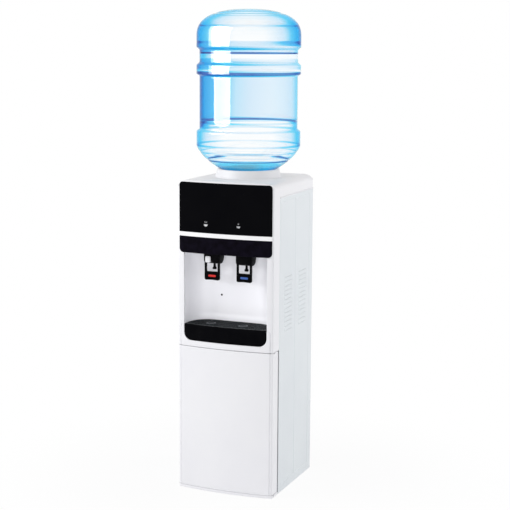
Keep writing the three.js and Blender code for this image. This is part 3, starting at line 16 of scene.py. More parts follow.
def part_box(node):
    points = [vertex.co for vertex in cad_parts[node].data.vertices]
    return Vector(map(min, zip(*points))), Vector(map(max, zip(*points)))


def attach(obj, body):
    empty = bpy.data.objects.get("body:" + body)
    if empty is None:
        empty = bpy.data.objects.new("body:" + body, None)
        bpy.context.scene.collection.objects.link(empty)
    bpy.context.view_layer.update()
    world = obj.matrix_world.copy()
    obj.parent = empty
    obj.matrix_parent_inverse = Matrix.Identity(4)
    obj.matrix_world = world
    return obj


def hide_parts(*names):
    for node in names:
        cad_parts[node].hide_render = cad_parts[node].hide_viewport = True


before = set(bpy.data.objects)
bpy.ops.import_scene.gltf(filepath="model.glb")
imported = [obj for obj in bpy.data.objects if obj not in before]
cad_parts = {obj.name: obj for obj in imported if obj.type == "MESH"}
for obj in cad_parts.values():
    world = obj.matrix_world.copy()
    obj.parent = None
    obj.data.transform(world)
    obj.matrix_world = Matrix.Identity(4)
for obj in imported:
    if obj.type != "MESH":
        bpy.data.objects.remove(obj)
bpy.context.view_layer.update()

# %% [markdown]
# The camera comes first. It stands a little to the right of the dispenser and above its middle, far
# away, so that upright lines stay upright. A camera can be aimed by a constraint, but three numbers
# for turn, tilt and roll are easy to read, and the script has the same view each run.

# %% Camera
CAMERA_PLACE = (1.4801, -3.5244, 1.2829)
CAMERA_TURN, CAMERA_TILT, CAMERA_ROLL = 22.414, 9.133, 0.322
CAMERA_LENS, CAMERA_SENSOR = 94.44, 36


def into_scene(name, data):
    """An object in the scene that holds data."""
    made = bpy.data.objects.new(name, data)
    bpy.context.collection.objects.link(made)
    return made


camera = into_scene("camera", bpy.data.cameras.new("camera"))
camera.data.lens, camera.data.sensor_width = CAMERA_LENS, CAMERA_SENSOR
camera.location = CAMERA_PLACE
camera.rotation_euler = (
    Matrix.Rotation(math.radians(CAMERA_TURN), 3, "Z")
    @ Matrix.Rotation(math.radians(90 - CAMERA_TILT), 3, "X")
    @ Matrix.Rotation(math.radians(CAMERA_ROLL), 3, "Z")
).to_euler()
bpy.context.scene.camera = camera
print("camera at", CAMERA_PLACE)

# %% [markdown]
# A material, the world and a node group are all trees of nodes. One small helper makes a node, sets its
# sockets and links what comes from other nodes, so that each tree below reads as a list of its steps.

# %% Nodes
WHITE = (1, 1, 1, 1)


def node(tree, kind, sockets=None, **settings):
    """A new node. Each socket gets a fixed value, or a link if its value is another node's output."""
    made = tree.nodes.new("ShaderNode" + kind)
    for title, value in settings.items():
        setattr(made, title, value)
    for socket, value in (sockets or {}).items():
        if isinstance(value, bpy.types.NodeSocket):
            tree.links.new(value, made.inputs[socket])
        else:
            made.inputs[socket].default_value = value
    return made


def empty_tree(owner):
    """The node tree of a material or a world, with nothing in it."""
    owner.use_nodes = True
    owner.node_tree.nodes.clear()
    return owner.node_tree


def seen_plainly(tree):
    """1 for a ray from the camera, off a mirror or through glass, and 0 for a ray that carries light."""
    rays = node(tree, "LightPath").outputs
    straight = node(tree, "Math", {0: rays["Is Camera Ray"], 1: rays["Is Glossy Ray"]}, operation="MAXIMUM")
    through = {0: straight.outputs[0], 1: rays["Is Transmission Ray"]}
    return node(tree, "Math", through, operation="MAXIMUM").outputs[0]


print("helpers for node trees are ready, with white as", WHITE)

# %% [markdown]
# The light is that of a pale studio. A broad soft box stands at the front left, and the bottle mirrors
# it. A low one at the front and one at the right rear fill the shadows without being mirrored, and the
# world adds an even glow. The background could be a lit wall, but light on a wall also falls on the
# object, so the world is plain white only to the camera and to mirror-like and clear surfaces.

# %% Light and background
WORLD_GLOW = 0.45
UNMIRRORED = ("low_box", "side_box")


def soft_box(name, place, aim, width, height, power):
    """An area lamp at place, turned so that it shines towards aim. Sizes in metres, power in watts."""
    lamp = into_scene(name, bpy.data.lights.new(name, "AREA"))
    lamp.data.shape = "RECTANGLE"
    lamp.data.size, lamp.data.size_y, lamp.data.energy = width, height, power
    lamp.location = place
    lamp.rotation_euler = (Vector(aim) - Vector(place)).to_track_quat("-Z", "Y").to_euler()
    lamp.visible_transmission = False
    lamp.visible_glossy = name not in UNMIRRORED
    return lamp


soft_box("front_box", (-2.0, -1.5, 1.95), (0, 0, 1.1), 2.1, 1.8, 43)
soft_box("low_box", (0.9, -2.6, 0.75), (0, 0, 0.6), 1.4, 1.2, 12)
soft_box("side_box", (2.3, 1.1, 1.5), (0.1, 0, 0.9), 1.2, 2.0, 28)
world = bpy.data.worlds.new("studio")
bpy.context.scene.world = world
tree = empty_tree(world)
glow, white = (
    node(tree, "Background", {"Color": WHITE, "Strength": strength}) for strength in (WORLD_GLOW, 1)
)
either = node(tree, "MixShader", {0: seen_plainly(tree), 1: glow.outputs[0], 2: white.outputs[0]})
node(tree, "OutputWorld", {"Surface": either.outputs[0]})
bpy.context.scene.view_settings.view_transform = "Standard"
print("world glow", WORLD_GLOW)

# %% [markdown]
# The floor is a plain pale sheet that fades into the white background. A floor lit to pure white would
# lose the shadow, so the camera sees mostly plain white and a share of the lit floor, which keeps a
# soft shadow under the feet.

# %% Floor
FLOOR_HALF = 30.0
FLOOR_WHITE_SHARE = 0.93
FLOOR_PAINT = (0.86, 0.86, 0.87, 1)
SHADOW_REACH = (0.25, 0.9)

floor_mesh = bpy.data.meshes.new("floor")
floor_corners = [(x * FLOOR_HALF, y * FLOOR_HALF, 0) for x, y in ((-1, -1), (1, -1), (1, 1), (-1, 1))]
floor_mesh.from_pydata(floor_corners, [], [(0, 1, 2, 3)])
floor = into_scene("floor", floor_mesh)
floor_look = bpy.data.materials.new("pale_floor")
tree = empty_tree(floor_look)
where = node(tree, "TexCoord").outputs["Object"]
far = node(tree, "VectorMath", {0: where}, operation="LENGTH")
fade = node(tree, "MapRange", {
    "Value": far.outputs["Value"], "From Min": SHADOW_REACH[0], "From Max": SHADOW_REACH[1],
    "To Min": FLOOR_WHITE_SHARE, "To Max": 1.0,
}, interpolation_type="SMOOTHSTEP")
share = node(tree, "Math", {0: seen_plainly(tree), 1: fade.outputs[0]}, operation="MULTIPLY")
paint = node(tree, "BsdfDiffuse", {"Color": FLOOR_PAINT})
plain = node(tree, "Emission", {"Color": WHITE})
blend = node(tree, "MixShader", {0: share.outputs[0], 1: paint.outputs[0], 2: plain.outputs[0]})
node(tree, "OutputMaterial", {"Surface": blend.outputs[0]})
floor_mesh.materials.append(floor_look)
print("floor", 2 * FLOOR_HALF, "m square")

# %% [markdown]
# ## Finishes
# Nearly every part here is moulded, painted or pressed, and such a surface is never one even colour.
# It has faint cloudy patches, its gloss changes a little from place to place, and a fine grain breaks
# up its highlights. One node group makes all three from noise on object coordinates, so the pattern
# stays on the part when the part moves. Pictures could do the same, but they need a UV map for every
# part and have one fixed sharpness.

# %% Shared surface group
SURFACE_SOCKETS = {
    "Vector": "Vector", "Colour": "Color", "Patch Colour": "Color", "Patch Scale": "Float",
    "Gloss Low": "Float", "Gloss High": "Float", "Grain Scale": "Float", "Grain Depth": "Float",
}
SURFACE_RESULTS = {"Colour": "Color", "Roughness": "Float", "Normal": "Vector"}
PATCH_CONTRAST, GLOSS_CONTRAST = (0.35, 0.65), (0.3, 0.7)

surface_group = bpy.data.node_groups.new("patchy_grained_surface", "ShaderNodeTree")
for direction, titles in (("INPUT", SURFACE_SOCKETS), ("OUTPUT", SURFACE_RESULTS)):
    for title, kind in titles.items():
        surface_group.interface.new_socket(title, in_out=direction, socket_type="NodeSocket" + kind)


def noise(tree, vector, scale, detail=2.0):
    """The even value of a noise on vector."""
    sockets = {"Vector": vector, "Scale": scale, "Detail": detail, "Roughness": 0.5}
    return node(tree, "TexNoise", sockets).outputs["Fac"]


def stretched(tree, value, span, low, high):
    """value moved from span to the range from low to high."""
    sockets = {"Value": value, "From Min": span[0], "From Max": span[1], "To Min": low, "To Max": high}
    return node(tree, "MapRange", sockets).outputs[0]


def blended(tree, factor, first, second):
    """The colours first and second mixed by factor."""
    mixer = node(tree, "Mix", data_type="RGBA")
    ends = {socket.name: socket for socket in mixer.inputs if socket.enabled}
    for title, value in (("Factor", factor), ("A", first), ("B", second)):
        tree.links.new(value, ends[title])
    return [socket for socket in mixer.outputs if socket.enabled][0]


def bumped(tree, height, distance):
    """The normal of a surface that height raises by up to distance."""
    return node(tree, "Bump", {"Strength": 1.0, "Distance": distance, "Height": height}).outputs["Normal"]


tree = surface_group
given = tree.nodes.new("NodeGroupInput").outputs
made = tree.nodes.new("NodeGroupOutput").inputs
patches = stretched(tree, noise(tree, given["Vector"], given["Patch Scale"], 3.0), PATCH_CONTRAST, 0.0, 1.0)
gloss_grain = noise(tree, given["Vector"], given["Grain Scale"], 1.0)
gloss = stretched(tree, gloss_grain, GLOSS_CONTRAST, given["Gloss Low"], given["Gloss High"])
grain = bumped(tree, noise(tree, given["Vector"], given["Grain Scale"]), given["Grain Depth"])
tree.links.new(blended(tree, patches, given["Colour"], given["Patch Colour"]), made["Colour"])
tree.links.new(gloss, made["Roughness"])
tree.links.new(grain, made["Normal"])
print("group with", len(SURFACE_SOCKETS), "inputs")

# %% [markdown]
# A finish is one material: the shader with its fixed values, and the group that feeds its colour,
# roughness and normal. Colours are written as they look on a screen, from 0 to 255, and changed to
# the linear values that the shader needs.

# %% Make a finish
def screen(levels):
    """The linear colour of screen levels from 0 to 255: level / 255, raised by the screen's curve."""
    share = np.array(levels) / 255
    linear = np.where(share <= 0.04045, share / 12.92, ((share + 0.055) / 1.055) ** 2.4)
    return (*linear.tolist(), 1.0)


def finish(name, colour, patch, patch_scale, gloss, grain, depth, fixed=()):
    """A material of the shared surface group, with other shader sockets set to fixed values."""
    made = bpy.data.materials.new(name)
    made.use_nodes = True
    tree = made.node_tree
    shader = tree.nodes["Principled BSDF"]
    values = (screen(colour), screen(patch), patch_scale, *gloss, grain, depth)
    group = node(tree, "Group", node_tree=surface_group)
    tree.links.new(node(tree, "TexCoord").outputs["Object"], group.inputs["Vector"])
    for socket, value in zip(list(SURFACE_SOCKETS)[1:], values):
        group.inputs[socket].default_value = value
    for result, socket in (("Colour", "Base Color"), ("Roughness", "Roughness"), ("Normal", "Normal")):
        tree.links.new(group.outputs[result], shader.inputs[socket])
    for socket, value in dict(fixed).items():
        shader.inputs[socket].default_value = value
    return made


DULL, DARK, PANEL = ({"Specular IOR Level": level} for level in (0.1, 0.03, 0.025))
METAL = {"Metallic": 1.0}
# Colour, patch colour, patch scale, gloss from and to, grain scale, grain depth and fixed values
LOOKS = {
    "white_moulding": ((244, 244, 247), (241, 241, 245), 5, (0.3, 0.4), 900, 1.5e-5),
    "side_sheet": ((233, 238, 241), (229, 234, 238), 4, (0.42, 0.52), 700, 4e-5),
    "black_gloss_panel": ((4, 4, 7), (7, 7, 10), 9, (0.08, 0.16), 300, 2e-6, PANEL),
    "navy_band": ((8, 6, 13), (16, 13, 24), 60, (0.25, 0.4), 500, 2e-5, PANEL),
    "black_plastic": ((6, 6, 8), (12, 12, 14), 40, (0.3, 0.45), 900, 2e-5, DARK),
    "slate_plastic": ((27, 33, 37), (15, 20, 24), 40, (0.35, 0.5), 900, 3e-5, DULL),
    "bare_steel": ((196, 198, 201), (178, 181, 185), 14, (0.28, 0.42), 600, 1e-5, METAL),
    "red_print": ((200, 12, 6), (216, 30, 18), 300, (0.35, 0.5), 1500, 1e-5),
    "blue_print": ((40, 82, 160), (62, 104, 182), 300, (0.35, 0.5), 1500, 1e-5),
    "dim_ink": ((192, 193, 196), (170, 172, 176), 400, (0.4, 0.5), 1500, 1e-5),
    "white_ink": ((225, 226, 228), (200, 202, 205), 400, (0.4, 0.5), 1500, 1e-5),
    "white_ceramic": ((236, 234, 228), (226, 223, 216), 80, (0.5, 0.6), 800, 2e-5),
    "heat_sink_aluminium": ((188, 191, 196), (170, 173, 179), 30, (0.35, 0.5), 800, 2e-5, METAL),
    "foam": ((226, 221, 205), (214, 207, 188), 25, (0.8, 0.95), 350, 3e-4),
    "silicone_hose": ((214, 219, 222), (200, 206, 210), 60, (0.3, 0.45), 600, 1e-5),
    "circuit_board": ((24, 92, 58), (20, 78, 50), 150, (0.4, 0.5), 900, 2e-5),
    "foot_rubber": ((34, 34, 36), (44, 44, 46), 60, (0.7, 0.85), 900, 6e-5),
    "niche_white": ((240, 240, 244), (236, 236, 241), 6, (0.38, 0.5), 900, 1.5e-5),
    "strip_white": ((253, 253, 254), (250, 250, 252), 20, (0.25, 0.35), 900, 1e-5),
    "ring_grey": ((66, 73, 78), (54, 61, 66), 60, (0.3, 0.45), 900, 1e-5, DULL),
    "collar_white": ((238, 239, 242), (232, 233, 237), 12, (0.35, 0.45), 900, 1.5e-5),
    "lever_black": ((3, 4, 5), (7, 7, 9), 60, (0.2, 0.35), 900, 1e-5, DARK),
    "tray_black": ((4, 4, 7), (8, 8, 11), 30, (0.22, 0.32), 700, 1e-5, PANEL),
}
FINISHES = {name: finish(name, *look) for name, look in LOOKS.items()}
print(len(FINISHES), "finishes")

# %% [markdown]
# The bottle is blue clear plastic. Where the wall is seen edge-on there is more plastic to look through,
# so the blue deepens towards the sides. Layer Weight tells how far a face turns away, the stored colour
# depth is added to it, and a ramp turns the sum from nearly clear through cyan to a deep blue. A coat on
# the outer face mirrors the lamps. It fades where the wall turns away, because a mirrored lamp there
# would hide the edge of the bottle against a white background.

# %% Clear blue plastic
BLUE_RAMP = (
    (0.0, (0.985, 0.995, 1.0)), (0.24, (0.81, 0.91, 0.98)), (0.34, (0.70, 0.88, 0.975)),
    (0.52, (0.12, 0.72, 0.955)), (0.86, (0.07, 0.59, 0.91)), (1.06, (0.03, 0.17, 0.52)),
)
RAMP_SPAN = 1.25
CLEAR_PLASTIC = {
    "Transmission Weight": 1.0, "Metallic": 0.0, "IOR": 1.12, "Coat IOR": 1.9, "Coat Roughness": 0.02,
}
MIRROR_FADE = (0.62, 0.3)  # how far a face turns away where the coat is gone, and where it is whole
CLEAR_ROUGHNESS = (0.01, 0.035)
RIPPLE_DEPTH = 2e-4

clear = bpy.data.materials.new("bottle_clear")
clear.use_nodes = True
tree = clear.node_tree
shader = tree.nodes["Principled BSDF"]
for socket, value in CLEAR_PLASTIC.items():
    shader.inputs[socket].default_value = value
outer = node(tree, "Attribute", attribute_name="outer_face").outputs["Fac"]
# The stored colour depth carries painted reflection and painted shade as well as the plastic's blue.
stored = node(tree, "Attribute", attribute_name="colour_depth").outputs["Fac"]
turned_away = node(tree, "LayerWeight", {"Blend": 0.5}).outputs["Facing"]
squarely = stretched(tree, turned_away, MIRROR_FADE, 0.0, 1.0)
mirror = node(tree, "Math", {0: outer, 1: squarely}, operation="MULTIPLY")
total = node(tree, "Math", {0: turned_away, 1: stored}, operation="ADD")
share = node(tree, "Math", {0: total.outputs[0], 1: RAMP_SPAN}, operation="DIVIDE")
ramp = node(tree, "ValToRGB", {"Fac": share.outputs[0]})
stops = ramp.color_ramp.elements
stops.remove(stops[0])
stops[0].position, stops[0].color = 0.0, (*BLUE_RAMP[0][1], 1)
for position, colour in BLUE_RAMP[1:]:
    stops.new(position / RAMP_SPAN).color = (*colour, 1)
where = node(tree, "TexCoord").outputs["Object"]
for socket, output in {
    "Coat Weight": mirror.outputs[0],
    "Base Color": ramp.outputs["Color"],
    "Roughness": stretched(tree, noise(tree, where, 18.0), (0.0, 1.0), *CLEAR_ROUGHNESS),
    "Normal": bumped(tree, noise(tree, where, 14.0), RIPPLE_DEPTH),
}.items():
    tree.links.new(output, shader.inputs[socket])
FINISHES["bottle_clear"] = clear
print("ramp of", len(BLUE_RAMP), "colours")

# %% [markdown]
# ## Shapes
# Each new piece is worked out as grids of points. A grid has rows and columns, and four neighbours
# make one face. Most pieces are a profile carried along a path: a turned part carries it round an axis,
# a plate carries it round its outline, and the housing carries a plan outline up its height.

# %% Grid to mesh
MERGE = 2e-6  # metres; points closer than this are one point


def quads(rows, columns):
    """Corner numbers of a grid's faces: a point, its neighbour in the row, and the two in the next row."""
    index = np.arange(rows * columns).reshape(rows, columns)
    return np.stack([index[:-1, :-1], index[:-1, 1:], index[1:, 1:], index[1:, :-1]], -1).reshape(-1, 4)


def surface(name, grids, outward=None, smooth=38, **numbers):
    """A mesh object from grids (rows, columns, 3) in millimetres. Points that fall together are merged.
    A closed shape has its faces turned outwards by their neighbours. An open one is told outward, and
    each grid is turned so that the sum of its face normals goes with it. numbers are named values, one
    array per grid, that the mesh keeps at its points."""
    corners, faces, count = [], [], 0
    for grid in grids:
        grid = np.asarray(grid, float)
        faces_here = quads(*grid.shape[:2])
        flat = grid.reshape(-1, 3)
        if outward is not None:
            a, b, c, d = (flat[faces_here[:, k]] for k in range(4))
            if np.cross(c - a, d - b).sum(0) @ np.array(outward) < 0:
                faces_here = faces_here[:, ::-1]
        corners.append(flat)
        faces.append(faces_here + count)
        count += len(flat)
    mesh = bpy.data.meshes.new(name)
    mesh.from_pydata((np.concatenate(corners) / 1000).tolist(), [], np.concatenate(faces).tolist())
    for title, values in numbers.items():
        layer = mesh.attributes.new(title, "FLOAT", "POINT")
        layer.data.foreach_set("value", np.concatenate([np.ravel(v) for v in values]).astype(np.float32))
    shape = bmesh.new()
    shape.from_mesh(mesh)
    bmesh.ops.remove_doubles(shape, verts=shape.verts, dist=MERGE)
    if outward is None:
        bmesh.ops.recalc_face_normals(shape, faces=shape.faces)
    shape.to_mesh(mesh)
    shape.free()
    mesh.polygons.foreach_set("use_smooth", np.ones(len(mesh.polygons), bool))
    mesh.set_sharp_from_angle(angle=math.radians(smooth))
    return into_scene(name, mesh)


def place(made, body, slot, look, *stands_for):
    """Rides the piece on its body, gives its finish and hides the CAD parts it stands for. slot is not used.
    """
    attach(made, body)
    if stands_for:
        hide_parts(*stands_for)
    made.data.materials.clear()
    made.data.materials.append(FINISHES[look])
    print(f"{made.name}: {len(made.data.polygons)} faces on {body}")
    return made


def wall(made, thickness):
    """Gives an open skin its thickness, in millimetres, behind its outer face."""
    solidify = made.modifiers.new("wall", "SOLIDIFY")
    solidify.thickness = thickness / 1000
    solidify.offset = -1
    return made


def box_of(name):
    """Lowest and highest corner of a CAD part, in millimetres."""
    low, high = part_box(name)
    return np.array(low) * 1000, np.array(high) * 1000


# %% [markdown]
# Corners of moulded parts are never sharp. A small helper rounds any chain of points: at each corner it
# swaps the point for a short parabola that leaves one edge and meets the next.

# %% Chains of points
EDGE_SHARE = 0.49  # a rounded corner takes less than half of each edge


def points(*axes):
    """Points from their place along each axis. One number is the same for all of them."""
    return np.stack(np.broadcast_arrays(*axes), -1)


def at(plan, level):
    """A plan outline of (x, y) at a level, or with a level for each of its points."""
    return points(*plan.T, level)


def direction(angle):
    """The unit vector (cos, sin) of each angle."""
    return points(np.cos(angle), np.sin(angle))


def soften(chain, reach, steps=5, loop=False):
    """Each corner B becomes the parabola (1-s)^2 A + 2s(1-s) B + s^2 C, where A and C lie reach before
    and behind B on its two edges. reach is one number or one per point."""
    chain = np.asarray(chain, float)
    before, after = np.roll(chain, 1, 0), np.roll(chain, -1, 0)
    reach = np.broadcast_to(np.asarray(reach, float), len(chain))[:, None]
    length_in = np.linalg.norm(chain - before, axis=1, keepdims=True)
    length_out = np.linalg.norm(after - chain, axis=1, keepdims=True)
    start = chain + (before - chain) * np.minimum(reach / np.maximum(length_in, 1e-9), EDGE_SHARE)
    end = chain + (after - chain) * np.minimum(reach / np.maximum(length_out, 1e-9), EDGE_SHARE)
    s = np.linspace(0, 1, steps)[None, :, None]
    curves = (1 - s) ** 2 * start[:, None] + 2 * s * (1 - s) * chain[:, None] + s**2 * end[:, None]
    if not loop:
        curves[0], curves[-1] = chain[0], chain[-1]
    flat = curves.reshape(-1, chain.shape[1])
    kept = np.r_[True, np.linalg.norm(np.diff(flat, axis=0), axis=1) > 1e-6]
    return np.vstack([flat[kept], flat[:1]]) if loop else flat[kept]


def turned(profile, centre, steps=96, axis=2):
    """A profile of (radius, height) carried round an axis through centre: each point goes to
    centre + radius * (cos, sin) across the axis, at its height along it."""
    profile = np.asarray(profile, float)
    angle = np.linspace(0, 2 * math.pi, steps + 1)
    across = [k for k in range(3) if k != axis]
    grid = np.zeros((len(profile), steps + 1, 3))
    grid[..., across[0]] = centre[0] + profile[:, :1] * np.cos(angle)
    grid[..., across[1]] = centre[1] + profile[:, :1] * np.sin(angle)
    grid[..., axis] = profile[:, 1:2]
    return grid


def smooth_step(value):
    """0 below -1, 1 above 1, and a soft S between."""
    t = np.clip((value + 1) / 2, 0, 1)
    return t * t * (3 - 2 * t)


def from_border(out_x, out_z, corner):
    """Distance from the border of a rounded rectangle, less than 0 inside it. out_x and out_z tell how
    far a point lies beyond the rectangle that has been made smaller by corner on every side."""
    beyond = np.hypot(np.maximum(out_x, 0), np.maximum(out_z, 0))
    return beyond + np.minimum(np.maximum(out_x, out_z), 0) - corner


print("rounded corner test:", soften([(0, 0), (1, 0), (1, 1)], 0.4, 3).round(2).tolist())

# %% [markdown]
# The front of the dispenser is gently bowed: seen from above it is a shallow parabola, highest in the
# middle. Everything on the front, from the black panel to the door, follows this same curve.

# %% The bowed front
housing_low, housing_high = box_of("upper_housing")
door_low, door_high = box_of("door")
HALF_WIDTH = housing_high[0]
BOW = 12.0
FRONT_EDGE = housing_low[1] + BOW


def bow(x):
    """Front face at x: the corner's depth less BOW times 1 - (x / half width) squared."""
    return FRONT_EDGE - BOW * (1 - np.minimum(np.abs(x) / HALF_WIDTH, 1) ** 2)


print("front bows from", FRONT_EDGE, "to", bow(0))

# %% [markdown]
# A plate is drawn from rings: rounded rectangles with the same number of points at every size. They run
# from the middle of its face out to the edge, round it, over to the back and in again.

# %% Plates
RING_STEP = 6  # about the distance between two rings of a face


def ring(low, high, radii, inset, across=24, up=12, arc=7):
    """A rounded rectangle from its bottom left corner round through its bottom right one, moved in by
    inset. radii are those of the bottom and top corners. Every inset gives the same number of points,
    and at half the height the ring closes up to a line."""
    low, high = np.array(low, float), np.array(high, float)
    middle, half = (low + high) / 2, (high - low) / 2
    turns = np.linspace(0, math.pi / 2, arc)
    corners = []
    for sign_x, sign_z, start, radius in (
        (-1, -1, math.pi, radii[0]), (1, -1, 1.5 * math.pi, radii[0]),
        (1, 1, 0, radii[1]), (-1, 1, 0.5 * math.pi, radii[1]),
    ):
        held = np.maximum(half - max(inset, radius), 0)
        centre = middle + np.array([sign_x, sign_z]) * held
        corners.append(centre + max(radius - inset, 0) * direction(start + turns))
    sides = []
    for k, parts in enumerate((across, up, across, up)):
        share = np.linspace(0, 1, parts + 1)[1:-1, None]
        begin, end = corners[k][-1], corners[(k + 1) % 4][0]
        sides += [corners[k], begin + share * (end - begin)]
    return np.vstack([*sides, corners[0][:1]])


def plate(low, high, radii, front, thickness, edge, dome=0.0, **parts):
    """A closed plate whose outline is a rounded rectangle in x and z, with its edge rounded by a quarter
    circle. front(x) gives the depth of its face, and dome raises the middle a little."""
    half = min(high[0] - low[0], high[1] - low[1]) / 2
    inward = np.linspace(half, edge, max(int(half / RING_STEP), 4))
    rows = [(inset, 0.0) for inset in inward[:-1]]
    rows += [(edge * (1 - math.sin(a)), edge * (1 - math.cos(a))) for a in np.linspace(0, math.pi / 2, 5)]
    rows += [(0.0, thickness), (half, thickness)]
    grid = []
    for inset, depth in rows:
        x, z = ring(low, high, radii, inset, **parts).T
        raised = dome * (1 - (1 - min(inset / half, 1)) ** 2) if depth < thickness else 0
        grid.append(points(x, front(x) + depth - raised, z))
    return np.stack(grid)


print("test plate:", plate((0, 0), (20, 10), (2, 2), bow, 3.0, 1.0).shape)

# %% [markdown]
# ## Black front panel, white strip and tap band
# On the real product these are three mouldings of one width: a glossy panel, a white strip and a band
# that the taps hang from. A flat box would do from afar, but the glossy face shows the bow of the
# front, so each is a plate whose outline is drawn in a few hundred points and bent onto the bow.

# %% Panel, strip and band
PANEL_PROUD = FRONT_EDGE - BOW - box_of("control_panel")[0][1]


def panel_face(x):
    """The bowed front, moved out by what the panels stand proud."""
    return bow(x) - PANEL_PROUD


for name, part, radii, edge, look, slot in (
    ("front_panel", "control_panel", (0.6, 10), 1.0, "black_gloss_panel", "black_gloss_panel"),
    ("panel_strip", "trim_strip", (0.6, 0.6), 0.6, "strip_white", "white_moulding"),
    ("tap_band_cover", "tap_band", (12, 0.6), 1.0, "navy_band", "black_gloss_panel"),
):
    low, high = box_of(part)
    grid = plate(low[[0, 2]], high[[0, 2]], radii, panel_face, 3.0, edge, across=48, up=20)
    place(surface(name, [grid]), "housing", slot, look, part)

# %% [markdown]
# ## Indicators
# Two small printed signs show hot and cold: a half-filled cup with steam over it, and one with a
# small star of frost. They are thin raised ink, drawn as half discs and short wavy strokes on the panel.

# %% Ink
INK = 0.12
HALF_TURN = 1.5  # radians, a little under a quarter turn


def ink(low_edge, high_edge):
    """A closed strip of ink between two edges of (x, z) points: its top stands INK over the panel, and
    its foot lies INK inside it."""
    x, z = np.stack([low_edge, high_edge]).transpose(2, 0, 1)
    top, foot = (points(x, panel_face(x) + depth, z) for depth in (-INK, INK))
    loop = np.stack([top[0], top[1], foot[1], foot[0], top[0]])
    ends = [np.stack([loop[:, k], np.repeat(loop[:, k].mean(0)[None], 5, 0)]) for k in (0, -1)]
    return [loop, *ends]


def half_disc(x, z, radius):
    """The lower half of a disc: under the line z, down to the circle of the radius. It stops just short
    of the half circle, so that its ends are short sides and not points, which would leave holes."""
    across = radius * np.sin(np.linspace(-HALF_TURN, HALF_TURN, 25))
    low = points(x + across, z - np.sqrt(np.maximum(radius**2 - across**2, 0)))
    return ink(low, points(x + across, z))


def wave(x, z, height, sway, width):
    """An upright stroke whose middle sways as a sine along its height."""
    t = np.linspace(0, 1, 13)
    middle = points(x + sway * np.sin(2 * math.pi * t), z + height * t)
    side = np.array([width / 2, 0])
    return ink(middle - side, middle + side)


def frost(x, z, reach, width):
    """Three crossing strokes turned by sixty degrees from each other."""
    strokes = []
    for turn in (math.pi / 2, math.pi / 6, -math.pi / 6):
        along = np.array([math.cos(turn), math.sin(turn)]) * reach
        side = np.array([-math.sin(turn), math.cos(turn)]) * width / 2
        line = np.array([x, z]) + np.linspace(-1, 1, 5)[:, None] * along
        strokes += ink(line - side, line + side)
    return strokes


print("ink", INK, "mm thick")

# %% Indicator signs
hot_middle, cold_middle = (sum(box_of(f"{side}_indicator")) / 2 for side in ("hot", "cold"))
cup_z, hot_x, cold_x = hot_middle[2] + 1.0, hot_middle[0] - 4.6, cold_middle[0] - 5.6
hot_sign, cold_sign = half_disc(hot_x, cup_z, 5.9), half_disc(cold_x, cup_z, 5.4)
for shift in (-3.4, 0, 3.4):
    hot_sign += wave(hot_x + shift, cup_z + 3.8, 4.5, 0.7, 0.55)
cold_sign += frost(cold_x, cup_z + 6.2, 2.1, 0.65)
for side, grids, look in (("hot", hot_sign, "white_ink"), ("cold", cold_sign, "dim_ink")):
    place(surface(f"{side}_sign", grids), "housing", "white_moulding", look, f"{side}_indicator")

# %% [markdown]
# ## White front housing
# One moulding makes the front frame, the side edges that wrap round to the metal sheets, and the top
# cap. It has a wide mouth for the niche and the tray, and below the mouth a raised field begins that
# goes on down the door. A box cut by booleans would leave long thin faces that shade badly on the bow,
# so the skin is several grids that share their edges: a frame of rows round the mouth, plain walls over
# it, and a top whose rows run from the outline in to the round hole for the bottle.

# %% Front outline seen from above
SIDE_ROUND, FRONT_ROUND, POWER = 15.0, 6.0, 4
FIELD_EDGE = 137.0
LIP_POINTS = 4


def face_y(x):
    """The bowed front, rolled back at its corners: bow(x) + r (1 - (1 - u^4)^(1/4)), where u is how far
    x reaches into the last SIDE_ROUND of the width."""
    u = np.clip((np.abs(x) - (HALF_WIDTH - SIDE_ROUND)) / SIDE_ROUND, 0, 1)
    return bow(x) + FRONT_ROUND * (1 - (1 - u**POWER) ** (1 / POWER))


near_edge = FIELD_EDGE + np.array([-2, -1.4, -0.9, -0.6, -0.3, 0, 0.3, 0.6, 0.9, 1.4, 2])
near_corner = HALF_WIDTH - SIDE_ROUND * (1 - (1 - np.linspace(0.9, 0, 8) ** POWER) ** (1 / POWER))
right_x = np.concatenate([np.linspace(4, 130, 32), [132.0, 133.5], near_edge, [140.2, 141.4], near_corner])
front_x = np.concatenate([-right_x[::-1], [0.0], right_x])


def wrapped(back, lip):
    """The plan outline of a front moulding: from the left edge's lip round the front to the right one's.
    Each side runs straight back to back, turns in by a small round and ends lip further in."""
    turn_in = points([-0.15, -0.6, -1.4, -lip], [back - 0.6, back - 0.15, back, back]) + [HALF_WIDTH, 0]
    run = points(HALF_WIDTH, np.linspace(face_y(HALF_WIDTH), back - 1.4, 10)[1:])
    right = np.vstack([run, turn_in])
    return np.vstack([right[::-1] * [-1, 1], points(front_x, face_y(front_x)), right])


def moved_in(path, inset):
    """Each point of a plan outline moved in by inset, square to the outline, which runs left to right."""
    along = np.gradient(path, axis=0)
    along /= np.linalg.norm(along, axis=1, keepdims=True)
    return path + inset * points(-along[:, 1], along[:, 0])


def tucked(path, inset):
    """moved_in for a wrapped outline: far in, the points of its lips fall together with the side's end."""
    moved = moved_in(path, inset)
    if inset > 2:
        moved[:LIP_POINTS], moved[-LIP_POINTS:] = moved[LIP_POINTS], moved[-LIP_POINTS - 1]
    return moved


print(len(front_x), "points across the front")

# %% Raised field
FIELD_RAISED, FIELD_GROOVE, FIELD_ROUND, BORDER = 0.7, 1.8, 5.0, 0.8
NO_FIELD, FULL_FIELD = -1e3, 1e3  # heights of the field's top border, far below and far above


